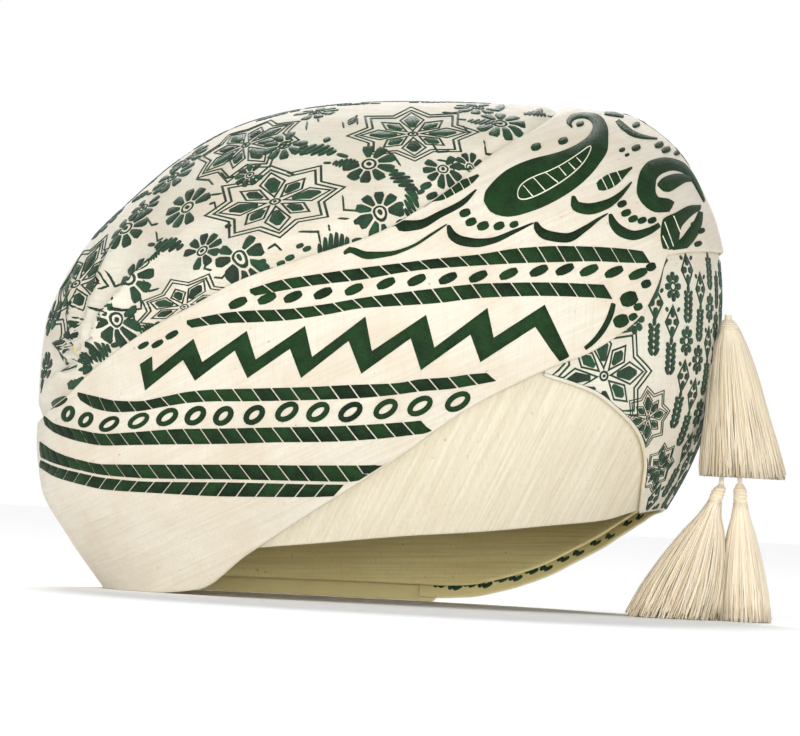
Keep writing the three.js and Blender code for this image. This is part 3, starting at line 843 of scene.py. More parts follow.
class Stitching:
    """Gathers raised patches of thread and lays them on a cloth as one piece."""

    broad = (np.array([-1, -0.9, 0, 0.9, 1]), np.array([-1, 0.8, 1, 0.8, -1]))
    fine = (np.array([-1, 0, 1]), np.array([-0.3, 1, -0.3]))
    most_outside = 0.6
    oval = (np.array([-1, -0.85, -0.45, 0, 0.45, 0.85, 1]), np.array([0.2, 0.6, 0.93, 1, 0.93, 0.6, 0.2]))

    def __init__(self, name: str, ground: Cloth, sight: Sight, lift: float = 0.35,
                 edge: float = -0.3, mirrored: bool = True, seed: int = 3) -> None:
        """Starts an empty piece on a cloth.

        Args:
            name: the piece's name.
            ground: the cloth.
            sight: lines of sight for marks in pixels.
            lift: height of the thread's top.
            edge: height of its edge.
            mirrored: whether the far side gets the same.
            seed: start of the random shades.
        """
        self.name = name
        self.ground = ground
        self.sight = sight
        self.lift = lift
        self.edge = edge
        self.mirrored = mirrored
        self.random = np.random.default_rng(seed)
        self.targets: list[Array] = []
        self.lifts: list[Array] = []
        self.faces: list[Array] = []
        self.shades: list[Array] = []
        self.total = 0

    def patch(self, grid: Array, closed: bool = False, shade: float | None = None) -> None:
        """Adds a patch over a grid of target points, and its mirror image on the far side.

        Args:
            grid: targets, rows along the patch by columns across it.
            closed: whether the rows run round in a ring.
            shade: how dark it is, or none for a random one.
        """
        value = self.random.uniform() if shade is None else shade
        self.lay(grid, closed, value)
        if self.mirrored:
            self.lay(grid * (1, -1, 1), closed, value)

    def lay(self, grid: Array, closed: bool, shade: float) -> None:
        """Adds one patch, facing out, unless it lies off the cloth."""
        grid, outside = self.ground.trim(grid)
        if outside > self.most_outside:
            return
        rows, columns = grid.shape[:2]
        facing = np.cross(grid[1, 0] - grid[0, 0], grid[0, -1] - grid[0, 0])
        if facing @ (grid[0, 0] - (0, 0, self.ground.form.core)) > 0:
            grid = grid[:, ::-1]
        profile = self.broad[1] if columns == 5 else self.fine[1]
        heights = np.where(profile < 0, -profile * self.edge, profile * self.lift)
        lifts = np.tile(heights, (rows, 1))
        number = np.arange(rows)
        after = (number + 1) % rows
        last = columns - 1
        under = np.stack([after * columns, number * columns, number * columns + last,
                          after * columns + last], 1)
        faces = [grid_faces(rows, columns, closed, False), under if closed else under[:-1]]
        if not closed:
            lifts[0] = lifts[-1] = self.edge
            ends = []
            for base, step in ((0, 1), ((rows - 1) * columns, -1)):
                ring = [base + k for k in range(columns)][::step]
                ends += [[ring[0], ring[k], ring[k + 1], ring[k + 1]] for k in range(1, last)]
            faces.append(np.array(ends))
        self.targets.append(grid.reshape(-1, 3))
        self.lifts.append(lifts.ravel())
        self.faces.append(np.concatenate(faces) + self.total)
        self.shades.append(np.full(rows * columns, shade))
        self.total += rows * columns

    @staticmethod
    def spread(line: Array, half: Array, closed: bool, columns: Array) -> Array:
        """Grid of flat points beside a line, with mitred corners.

        Args:
            line: points along the middle, two numbers each.
            half: half the width at each.
            closed: whether the line is a ring.
            columns: shares of the half width.

        Returns:
            Points, rows along the line by columns across it.
        """
        after = np.roll(line, -1, 0) - line
        before = line - np.roll(line, 1, 0)
        if not closed:
            after[-1], before[0] = before[-1], after[0]
        first, second = (unit(np.stack([-way[:, 1], way[:, 0]], 1)) for way in (before, after))
        bisector = unit(first + second)
        slant = np.maximum((bisector * first).sum(1), 0.4)
        side = bisector / slant[:, None] * np.broadcast_to(half, len(line))[:, None]
        return line[:, None, :] + side[:, None, :] * columns[None, :, None]

    def stroke(self, place: Callable[[Array], Array], line: Rows, half: Array | float,
               closed: bool = False, fine: bool = False, shade: float | None = None) -> None:
        """Adds a patch along a flat line.

        Args:
            place: turns flat points into points on the cloth.
            line: points along the middle.
            half: half the width at each.
            closed: whether the line is a ring.
            fine: whether it is a thin line of few faces.
            shade: how dark it is, or none for a random one.
        """
        points = np.array(line, float)
        if fine:
            ends = np.roll(points, -1, 0)
            third = np.array([0, 1, 2])[None, :, None] / 3
            split = (points[:, None] * (1 - third) + ends[:, None] * third).reshape(-1, 2)
            points = split if closed else split[:-2]
        columns = (self.fine if fine else self.broad)[0]
        flat = self.spread(points, half, closed, columns)
        self.patch(place(flat), closed, shade)

    def photo(self, marks: Array) -> Array:
        """Points on the cloth behind the photo's pixels."""
        return self.sight.trace(self.ground, marks)

    def dot(self, x: float, y: float, long: float, wide: float, rise: float = 0.4) -> None:
        """Adds an oval at a pixel, half as long and wide as given, rising to the right."""
        steps, half = self.oval
        self.stroke(self.photo, np.column_stack([x + long * steps, y - rise * long * steps]), half * wide)

    def curve(self, rows: Rows, steps: int = 18, fine: bool = False,
              shade: float | None = None) -> None:
        """Adds a smooth patch along a line of pixels.

        Args:
            rows: across, down and half the width, in pixels.
            steps: number of points along it.
            fine: whether it is a thin line of few faces.
            shade: how dark it is, or none for a random one.
        """
        data = np.array(rows, float)
        run = running_length(data[:, :2])
        even = np.linspace(0, run[-1], steps)
        smooth = [Table(np.column_stack([run, data[:, k]]))(even) for k in range(3)]
        self.stroke(self.photo, np.column_stack(smooth[:2]), smooth[2], fine=fine, shade=shade)

    def ribbon(self, left: Rows, right: Rows, steps: int = 40, shade: float | None = None) -> None:
        """Adds a patch between two lines of pixels.

        Args:
            left: pixels of one side.
            right: pixels of the other, as many, in pairs with the first.
            steps: number of points along it.
            shade: how dark it is, or none for a random one.
        """
        sides = np.stack([np.array(left, float), np.array(right, float)])
        middle = sides.mean(0)
        run = running_length(middle) + 0.01 * np.arange(len(middle))
        even = np.linspace(0, run[-1], steps)
        edge = [[Table(np.column_stack([run, side[:, k]]))(even) for k in range(2)] for side in sides]
        first, second = (np.column_stack(pair) for pair in edge)
        share = (self.broad[0] + 1)[None, :, None] / 2
        flat = first[:, None] * (1 - share) + second[:, None] * share
        self.patch(self.photo(flat), shade=shade)

    def build(self, material: bpy.types.Material) -> bpy.types.Object:
        """Lays all patches on the cloth and makes the piece."""
        points = self.ground.snap(np.concatenate(self.targets), np.concatenate(self.lifts))
        piece = self.ground.placing.piece(self.name, points, np.concatenate(self.faces), material,
                                          np.concatenate(self.shades))
        return piece


@dataclass(frozen=True)
class Motif:
    """A drawing in flat millimetres about a middle, with the rule that places it on the cloth."""

    star_radius: ClassVar[float] = 25.5
    top_drop: ClassVar[float] = 4
    art: Stitching
    middle: Array
    place: Callable[[Array], Array]

    @classmethod
    def framed(cls, art: Stitching, row: Sequence[float]) -> "Motif":
        """Drawn in the photo's pixels: a row gives the middle and the ends of two radii of a star."""
        middle, ahead, aside = np.array(row, float).reshape(3, 2)
        ends = np.array([ahead - middle, aside - middle]) / cls.star_radius
        return cls(art, art.photo(middle), lambda flat: art.photo(middle + flat @ ends))

    @classmethod
    def tangent(cls, art: Stitching, middle: Array, ahead: Array, scale: float = 1.0) -> "Motif":
        """Drawn on the plane that touches the form at a point.

        Args:
            art: the piece that gets the strokes.
            middle: the point, in millimetres.
            ahead: a point that the first axis runs toward.
            scale: size of the drawing.

        Returns:
            The motif, ready to be drawn.
        """
        form = art.ground.form
        azimuth, elevation = form.angles(middle)
        around = form.point(azimuth + 1, elevation) - form.point(azimuth - 1, elevation)
        upward = form.point(azimuth, elevation + 1) - form.point(azimuth, elevation - 1)
        normal = unit(np.cross(around, upward))
        run = ahead - middle
        first = unit(run - normal * (run @ normal))
        plane = scale * np.stack([first, np.cross(normal, first)])
        return cls(art, middle, lambda flat: middle + flat @ plane)

    @classmethod
    def seen(cls, art: Stitching, row: Sequence[float]) -> "Motif":
        """At one pixel, turned toward another: a row gives both and a scale."""
        middle, ahead = art.photo(np.array(row[:4], float).reshape(2, 2))
        return cls.tangent(art, middle, ahead, row[4])

    @classmethod
    def upright(cls, art: Stitching, azimuth: float, elevation: float) -> "Motif":
        """At an azimuth and elevation, with its second axis up."""
        form = art.ground.form
        at = np.array([azimuth, azimuth + 1])
        middle, ahead = form.point(at, np.array([elevation, elevation]))
        return cls.tangent(art, middle, ahead)

    @classmethod
    def above(cls, art: Stitching, row: Sequence[float]) -> "Motif":
        """On the top: a row gives millimetres along and across, a turn in degrees and a scale."""
        form = art.ground.form
        x, y, turn, scale = row
        middle = form.point(*form.angles(np.array([x, y, form.height - cls.top_drop])))
        ahead = middle + (np.cos(np.radians(turn)), np.sin(np.radians(turn)), 0)
        return cls.tangent(art, middle, ahead, scale)

    def stroke(self, line: Rows, half: Array | float, **options: object) -> None:
        """Adds a stroke in flat millimetres."""
        self.art.stroke(self.place, line, half, **options)

    def blob(self, middle: tuple[float, float], angle: float, length: float, width: float,
             shade: float | None = None) -> None:
        """Adds an oval petal.

        Args:
            middle: its middle, in flat millimetres.
            angle: its way, in radians.
            length: its length.
            width: its width.
            shade: how dark it is, or none for a random one.
        """
        way = np.array([np.cos(angle), np.sin(angle)])
        steps, half = self.art.oval
        self.stroke(np.array(middle) + way * steps[:, None] * length / 2, half * width / 2, shade=shade)

    def ring(self, middle: tuple[float, float], radius: float, half: float, sides: int = 12) -> None:
        """Adds a round ring."""
        turn = np.linspace(0, 2 * np.pi, sides, endpoint=False)
        circle = np.column_stack([np.cos(turn), np.sin(turn)]) * radius
        self.stroke(circle + middle, half, closed=True, fine=True)

    def polar(self, angles: Array, radii: Array) -> Array:
        """Flat points from angles and radii."""
        return np.column_stack([np.cos(angles), np.sin(angles)]) * np.broadcast_to(
            radii, len(angles))[:, None]

    def rosette(self) -> None:
        """Adds an eight-pointed star: two outlines, eight kites with filled diamonds, a small ring."""
        turn = np.arange(16) * np.pi / 8
        for point, notch in ((self.star_radius, 18.8), (22.4, 16.6)):
            radii = np.where(np.arange(16) % 2 == 0, point, notch)
            self.stroke(self.polar(turn, radii), 0.62, closed=True, fine=True)
        for k in range(8):
            axis = k * np.pi / 4
            kite = np.array([axis, axis + 0.34, axis, axis - 0.34])
            reach, start, end, width = (20.3, 5.4, 17.4, 6.6) if k % 2 == 0 else (16.5, 5.4, 14, 5.2)
            self.stroke(self.polar(kite, [3.2, 0.68 * reach, reach, 0.68 * reach]), 0.55,
                        closed=True, fine=True)
            self.diamond(axis, start, end, width)
        self.ring((0, 0), 1.8, 0.6)
        self.blob((0, 0), 0, 1.4, 1.4)

    def diamond(self, axis: float, start: float, end: float, width: float) -> None:
        """Adds a filled diamond along an axis from the middle."""
        radii = start + (end - start) * np.array([0, 0.12, 0.6, 0.9, 1])
        half = np.array([0.12, 0.4, 1, 0.35, 0.12]) * width / 2
        self.stroke(self.polar(np.full(5, axis), radii), half)

    def flower(self, petals: int = 8, fan: float = 4.7) -> None:
        """Adds a fan of petals round a ringed heart."""
        reach = np.array([3.3, 3.8, 5.6, 8, 9.8, 10.5])
        half = np.array([0.4, 0.9, 1.6, 2.3, 1.9, 0.8])
        for angle in np.linspace(-fan / 2, fan / 2, petals):
            self.stroke(self.polar(np.full(6, angle), reach), half)
        self.ring((0, 0), 2.5, 0.6)
        self.blob((0, 0), 0, 2.2, 1.9)

    def leaf(self) -> None:
        """Adds a pointed leaf of close slanted stripes."""
        for k, length in enumerate((3.8, 6.8, 8.4, 8.4, 6.8, 4.2)):
            self.blob((-6 + 2.3 * k, 0), 1.05, length, 2.05)
        self.blob((9.8, 0), 0, 4.8, 1.9)

    def sprig(self, kind: int) -> None:
        """Adds a small flower, leaf or star, by kind."""
        if kind == 0:
            for angle in np.arange(8) * np.pi / 4:
                self.blob((3.2 * np.cos(angle), 4.1 * np.sin(angle)), angle, 3.6, 2.8)
            self.ring((0, 0), 1.6, 0.6, 8)
        elif kind == 1:
            for k in range(5):
                for side in (-1, 1):
                    self.blob((side * 1.6, -5 + 2.3 * k), np.pi / 2 - side * 0.7, 4.2, 2.1)
            self.blob((0, 6.4), np.pi / 2, 3.4, 2.1)
        else:
            for angle in np.arange(4) * np.pi / 2:
                self.blob((2.3 * np.cos(angle), 3.4 * np.sin(angle)), angle, 3.7, 2.8)
            self.stroke([(0, 6.2), (4.1, 0), (0, -6.2), (-4.1, 0)], 0.65, closed=True, fine=True)
            self.blob((3.6, 4.8), 0.7, 2.2, 1.6)
            self.blob((-3.6, 4.8), 2.4, 2.2, 1.6)


@dataclass(frozen=True)
class Rope:
    """A band of slanted cells, by pixel rows of its upper and lower edge."""

    rows: Rows
    pitch: float = 7.4
    gap: float = 0.35
    slant: float = -0.8

    def stitch(self, art: Stitching) -> None:
        """Adds its cells."""
        upper, lower = Table(self.rows, 1), Table(self.rows, 2)
        across = np.linspace(self.rows[0][0], self.rows[-1][0], 160)
        middle = art.photo(np.column_stack([across, (upper(across) + lower(across)) / 2]))
        run = running_length(middle)
        width = np.linalg.norm(np.subtract(
            art.photo(np.column_stack([across, upper(across)])),
            art.photo(np.column_stack([across, lower(across)]))), axis=1).mean()
        count = int(run[-1] / self.pitch)
        share = (art.broad[0] + 1)[None, :] / 2
        along = np.array([0, 0.03, 0.5, 0.97, 1])[:, None]
        for k in range(count):
            length = (k + along) * self.pitch - along * self.gap
            slid = length + self.slant * width * (share - 0.5)
            x = np.interp(slid, run, across)
            y = lower(x) * (1 - share) + upper(x) * share
            art.patch(art.photo(np.stack([x, y], -1)))


@dataclass(frozen=True)
class WrapPattern:
    """Bands of rope, rings, zigzag and dashes along the front wrap, in the photo's pixels."""

    cloth: Cloth
    sight: Sight
    double_top: Rope = Rope((
        (40, 441, 457.5), (55, 451, 464), (80, 459.7, 470.6), (105, 464, 475.6), (154, 464.2, 479),
        (229, 464.2, 479.8), (304, 465, 481.5), (353, 465, 482.3), (410, 463, 481),
    ))
    double_bottom: Rope = Rope((
        (40, 459.5, 467.5), (55, 466.2, 477), (80, 472.6, 484.6), (105, 477.6, 490),
        (154, 481.5, 493.3), (229, 482, 497), (304, 483.8, 497.5), (353, 484.5, 496),
    ), slant=0.8)
    ring_floor: Rope = Rope((
        (44, 415, 424), (55, 423.5, 433), (80, 429.5, 442), (105, 433.5, 446), (130, 432, 445.5),
        (179, 428.6, 444.8), (229, 427.9, 444.3), (279, 426.9, 442.8), (328, 426, 442.3),
        (378, 423.6, 439.3), (418, 420.5, 434.8), (445, 417, 432),
    ), 7.0)
    ring_ceiling: Rope = Rope((
        (78, 392, 399), (97, 396.3, 409.7), (116, 400.3, 412.6), (137, 401, 411.7),
        (164, 396.3, 407), (191, 391, 403), (217, 389, 401.7), (239, 388.5, 401.7),
        (308, 386.6, 400.5), (352, 384.5, 399), (395, 383, 395.2), (421, 378.8, 391.7),
        (449, 377, 389.5), (469, 374, 386.4), (498, 372, 381),
    ))
    lower_pair: Rope = Rope((
        (187, 320.2, 328.8), (226, 312.4, 323.6), (249, 310.3, 322.8), (283, 309, 321),
        (326, 303.8, 315), (361, 297.8, 308.6), (395, 293, 306.4), (433, 288.2, 304),
        (487, 282.9, 298), (541, 282, 296.3), (594, 283.8, 298), (625, 285.5, 301),
    ))
    upper_pair: Rope = Rope((
        (250, 289, 297), (282, 279.4, 291), (315, 274.3, 285.5), (359, 268, 280.4),
        (404, 262.5, 272.5), (433, 258.8, 269), (477, 254.4, 266), (521, 247.5, 263.6),
        (560, 245.5, 262.5), (594, 246.3, 261.8), (630, 249, 263.2), (653, 253, 263.5),
    ))
    rings: Rows = (
        (68.3, 413.8, 7, 8), (86, 419.8, 7.8, 7.6), (109.4, 424, 10.3, 7.2), (138.7, 420.8, 10.8, 7.4),
        (167.4, 417, 11.2, 8.6), (195.5, 415.7, 11, 9.4), (223.5, 416, 10.5, 9.6),
        (254.4, 415, 11, 9.6), (287, 411.7, 12, 9.6), (318, 412, 12, 9.6), (350.4, 412, 12.5, 9.6),
        (385.7, 409, 12.5, 9.6), (420, 406, 13, 9.6), (457.7, 401.6, 13, 9.6),
    )
    dashes: Rows = (
        (238, 303), (267, 298.6), (293, 296.9), (323, 293.4), (354, 289.5), (386, 283.5),
        (416.6, 280.2), (447.9, 278.4), (478.2, 276.6), (508.6, 273.9), (538.9, 270.8),
        (564.8, 269.5), (589, 270.4), (614, 272), (638, 274),
    )
    zigzag_upper: Rows = (
        (152.5, 356), (153, 371), (193.8, 338.3), (202.4, 361.6), (247.2, 330.5), (255.9, 359),
        (305.5, 325.3), (312.4, 356.4), (365.9, 315.9), (372.2, 350.3), (426.6, 314.1),
        (434.8, 346.9), (488, 307), (494, 337), (545, 304), (570, 357),
    )
    zigzag_lower: Rows = (
        (139.5, 364), (145, 391), (182.6, 360.7), (194.7, 381.4), (234.3, 351.2), (247.2, 378.8),
        (289.5, 349.5), (300.7, 378.8), (348.1, 341.7), (361, 374.5), (410.2, 339.1),
        (420.5, 371), (470, 335.5), (480, 363), (535, 327.5), (560, 364),
    )
    corner: Rows = ((651, 267, 4.5), (646, 284, 4.5), (629, 299, 8), (638, 307, 4), (633, 317, 4),
                    (621, 321, 7), (628, 329, 5))
    fold: Rows = ((143.5, 345.5, 5.5), (157.5, 344, 6), (172, 335, 6.5), (59.5, 402, 8))
    border: Rows = ((614, 301, 2.2), (611, 313, 3), (604, 328, 3), (593, 342, 2.6), (583, 350, 2))

    def add_rings(self, art: Stitching) -> None:
        """Adds the row of slanted rings."""
        turn = np.radians(np.arange(0, 360, 20))
        for x, y, wide, high in self.rings:
            band = 0.3 * high
            across = (wide - band) * np.cos(turn)
            down = (high - band) * np.sin(turn) - 0.4 * across
            art.stroke(art.photo, np.column_stack([x + across, y + down]), band, closed=True)

    def add_zigzag(self, art: Stitching) -> None:
        """Adds the zigzag as one band with sharp corners."""
        share = np.array([0, 0.03, 0.35, 0.65, 0.97])[None, :, None]
        sides = []
        for rows in (self.zigzag_lower, self.zigzag_upper):
            corners = np.array(rows, float)
            along = corners[:-1, None] * (1 - share) + corners[1:, None] * share
            sides.append(np.concatenate([along.reshape(-1, 2), corners[-1:]]))
        across = ((art.broad[0] + 1) / 2)[None, :, None]
        art.patch(art.photo(sides[0][:, None] * (1 - across) + sides[1][:, None] * across), shade=0.35)

    def build(self, material: bpy.types.Material) -> list[bpy.types.Object]:
        """Makes the bands as one piece."""
        art = Stitching("wrap_embroidery", self.cloth, self.sight)
        for rope in (self.double_top, self.double_bottom, self.ring_floor, self.ring_ceiling,
                     self.lower_pair, self.upper_pair):
            rope.stitch(art)
        self.add_rings(art)
        self.add_zigzag(art)
        for x, y in self.dashes:
            art.dot(x, y, 9.6, 4.9, 0.45)
        for x, y, size in self.corner:
            art.dot(x, y, size * 1.1, size)
        for x, y, size in self.fold:
            art.dot(x, y, size, size * 0.5, 0.6)
        art.curve(self.border, 14)
        return [art.build(material)]


@dataclass(frozen=True)
class PaisleyPattern:
    """Paisleys, crescents, leaves and dots above the ropes, in the photo's pixels."""

    cloth: Cloth
    sight: Sight
    hook_outer: Rows = (
        (574, 130), (566, 122), (570, 115), (581, 112.5), (594, 113), (604, 119), (609, 132),
        (609, 147), (600, 165), (583, 184), (560, 200), (533, 212), (508, 217.5), (493, 214),
        (485, 205),
    )
    hook_inner: Rows = (
        (573, 128.5), (571.5, 124), (575, 120), (582, 118.5), (589, 120.5), (592.5, 126), (589, 134),
        (576, 144), (556, 152), (531, 158), (507, 168), (491, 182), (484, 193), (483.5, 199),
        (484, 203),
    )
    drop: Rows = (
        (593, 143), (576, 156), (553, 170), (530, 178), (518, 187), (517, 199), (526, 200),
        (543, 193), (568, 178), (586, 161),
    )
    rungs: Rows = (
        (523, 186, 533, 197), (533, 178, 545, 191), (545, 173, 558, 183), (558, 167, 566, 176),
        (568, 163, 575, 170), (576, 158, 581, 163),
    )
    crescents: tuple[Rows, ...] = (
        ((393, 216, 1), (403, 226, 6), (418, 225, 5), (440, 214.5, 3.5), (462, 203, 3), (478, 188, 0.5)),
        ((342, 255.5, 1), (350, 250, 3), (367, 255.5, 4), (389, 254, 2.5), (411, 247, 1.5),
         (433, 233.5, 1.3), (449, 223, 0.5)),
        ((447.5, 223, 1), (452, 235, 4.5), (462, 241, 5), (477, 243, 4.6), (491.5, 241, 3.4),
         (513.5, 232, 2.2), (535.5, 222, 0.5)),
        ((535.5, 220, 1), (537, 227, 3.6), (546, 235, 5.2), (566, 238, 5), (586, 228, 3),
         (598, 219.5, 1.7), (609.5, 212.5, 0.5)),
        ((572.5, 194, 1), (576, 206, 5.2), (588.5, 209, 6), (606, 204.5, 5), (619.5, 195.5, 3),
         (633, 180.5, 0.5)),
        ((609.5, 212.5, 1), (613, 223, 4.2), (622, 232, 5.4), (633.5, 235.5, 5), (647, 232, 4),
         (661, 224, 2.5)),
        ((604, 113.5, 1.6), (614, 114.5, 2.4), (624, 117, 1.2)),
        ((616, 119.5, 2), (624, 127.5, 3.4), (634.5, 134.5, 3), (646, 137.5, 2), (658.5, 139, 0.8)),
    )
    leaf: Rows = ((596, 187, 3), (602, 185, 6.4), (610, 181, 7.4), (619, 176, 5.4), (626, 171.5, 2.6),
                  (633.5, 166.5, 0.7))
    leaf_slashes: Rows = ((601, 178, 607, 190), (608, 174, 614, 187), (616, 171, 621, 181))
    chain: Rows = ((424, 200, 3.5), (432, 196, 6), (441, 194, 6.6), (450, 190, 6.2), (459, 186, 5.4),
                   (470, 181, 3.6), (480, 174, 0.8))
    chain_slashes: Rows = ((430, 190, 436, 202), (439, 187, 446, 199), (448, 184, 455, 195),
                           (458, 180, 464, 190), (467, 177, 471, 185))
    dots: Rows = (
        (465, 213, 5), (471, 222, 5), (483, 226, 5.4), (499, 226, 5), (514, 224.5, 4),
        (622, 204, 4.2), (626, 213, 4.4), (633, 219, 4.2), (642, 220.5, 4), (652, 220.5, 3.8),
        (694, 224, 3), (701, 231, 3.4), (698, 244, 3.4), (689, 250, 3),
        (580, 124, 3.4), (536, 147, 4.6), (563, 141, 4.4), (622, 150, 2.6), (636, 148, 4),
        (627, 155, 2), (659, 145, 4), (666, 150, 4), (677, 153, 3), (636, 125, 3.4),
    )
    second_outer: Rows = (
        (672, 212), (657, 213), (643, 205), (636, 191), (639, 173), (650, 160), (665, 157),
        (681, 161), (692, 172), (700, 187), (706, 203),
    )
    second_inner: Rows = (
        (676, 203), (668, 198), (659, 197), (656, 190), (657, 180), (663, 174), (673, 171),
        (682, 173), (690, 180), (697, 191), (704, 204),
    )
    second_core: Rows = ((659.5, 190, 3), (662, 187, 6.4), (668, 184, 8.4), (677, 180, 7),
                         (685, 178.5, 4.4), (693, 181, 1))
    third_outer: Rows = ((703, 205), (692, 205), (676, 212), (662, 220), (660, 236), (663, 250))
    third_inner: Rows = ((701, 210), (696, 213), (689, 219), (681.5, 229), (679.5, 241), (677, 252))
    third_side: Rows = ((701, 210, 2), (698, 222, 4.4), (691, 235, 6.2), (682, 245, 6.2), (671, 250, 3.6))
    third_slashes: Rows = ((664, 222, 673, 247), (673, 216, 680, 233), (662, 236, 668, 249))

    def add_paisleys(self, art: Stitching, pale: Stitching) -> None:
        """Adds the three bodies and the pale lines on the first."""
        art.ribbon(self.hook_outer, self.hook_inner, 64, shade=0.3)
        drop = np.array(self.drop, float)
        for _ in range(2):
            after = np.roll(drop, -1, 0)
            drop = np.stack([drop * 0.75 + after * 0.25, drop * 0.25 + after * 0.75], 1).reshape(-1, 2)
        pale.stroke(pale.photo, drop, 1.0, closed=True, fine=True, shade=0.1)
        for x1, y1, x2, y2 in self.rungs + self.leaf_slashes + self.chain_slashes + self.third_slashes:
            share = np.array([0, 0.05, 0.5, 0.95, 1])
            rung = np.column_stack([x1 + (x2 - x1) * share, y1 + (y2 - y1) * share])
            pale.stroke(pale.photo, rung, 0.7, fine=True, shade=0.1)
        art.ribbon(self.second_outer, self.second_inner, 40, shade=0.45)
        art.curve(self.second_core, 14, shade=0.4)
        art.ribbon(self.third_outer, self.third_inner, 30, shade=0.45)
        art.curve(self.third_side, 20)

    def build(self, thread: bpy.types.Material,
              pale_thread: bpy.types.Material) -> list[bpy.types.Object]:
        """Makes the green pattern and the pale lines on it."""
        art = Stitching("paisley_embroidery", self.cloth, self.sight, seed=8)
        pale = Stitching("paisley_lines", self.cloth, self.sight, lift=0.55, edge=0.1)
        self.add_paisleys(art, pale)
        for rows in self.crescents:
            art.curve(rows, 26)
        art.curve(self.leaf, 16, shade=0.3)
        art.curve(self.chain, 20, shade=0.4)
        for x, y, size in self.dots:
            art.dot(x, y, size * 1.15, size * 0.85, 0.35)
        return [art.build(thread), pale.build(pale_thread), self.build_nape(thread)]

    def build_nape(self, thread: bpy.types.Material) -> bpy.types.Object:
        """Makes the drop and its dots between the two sides' paisleys."""
        art = Stitching("nape_embroidery", self.cloth, self.sight, mirrored=False, seed=11)
        drop = Motif.upright(art, 0.0, 52.0)
        drop.stroke([(0, -13), (0, -10), (0, -4), (0, 3), (0, 10), (0, 16)],
                    np.array([1, 4.4, 6.4, 5, 2.2, 0.4]))
        for angle in np.radians(np.arange(-150, -20, 15)):
            drop.blob((11 * np.cos(angle), 16 * np.sin(angle) - 1), angle + np.pi / 2, 3, 2.4)
        for side in (-1, 1):
            drop.stroke([(side * 4, 20), (side * 8, 15), (side * 10, 8), (side * 10, 1)],
                        np.array([0.4, 1.6, 1.8, 0.5]))
        return art.build(thread)


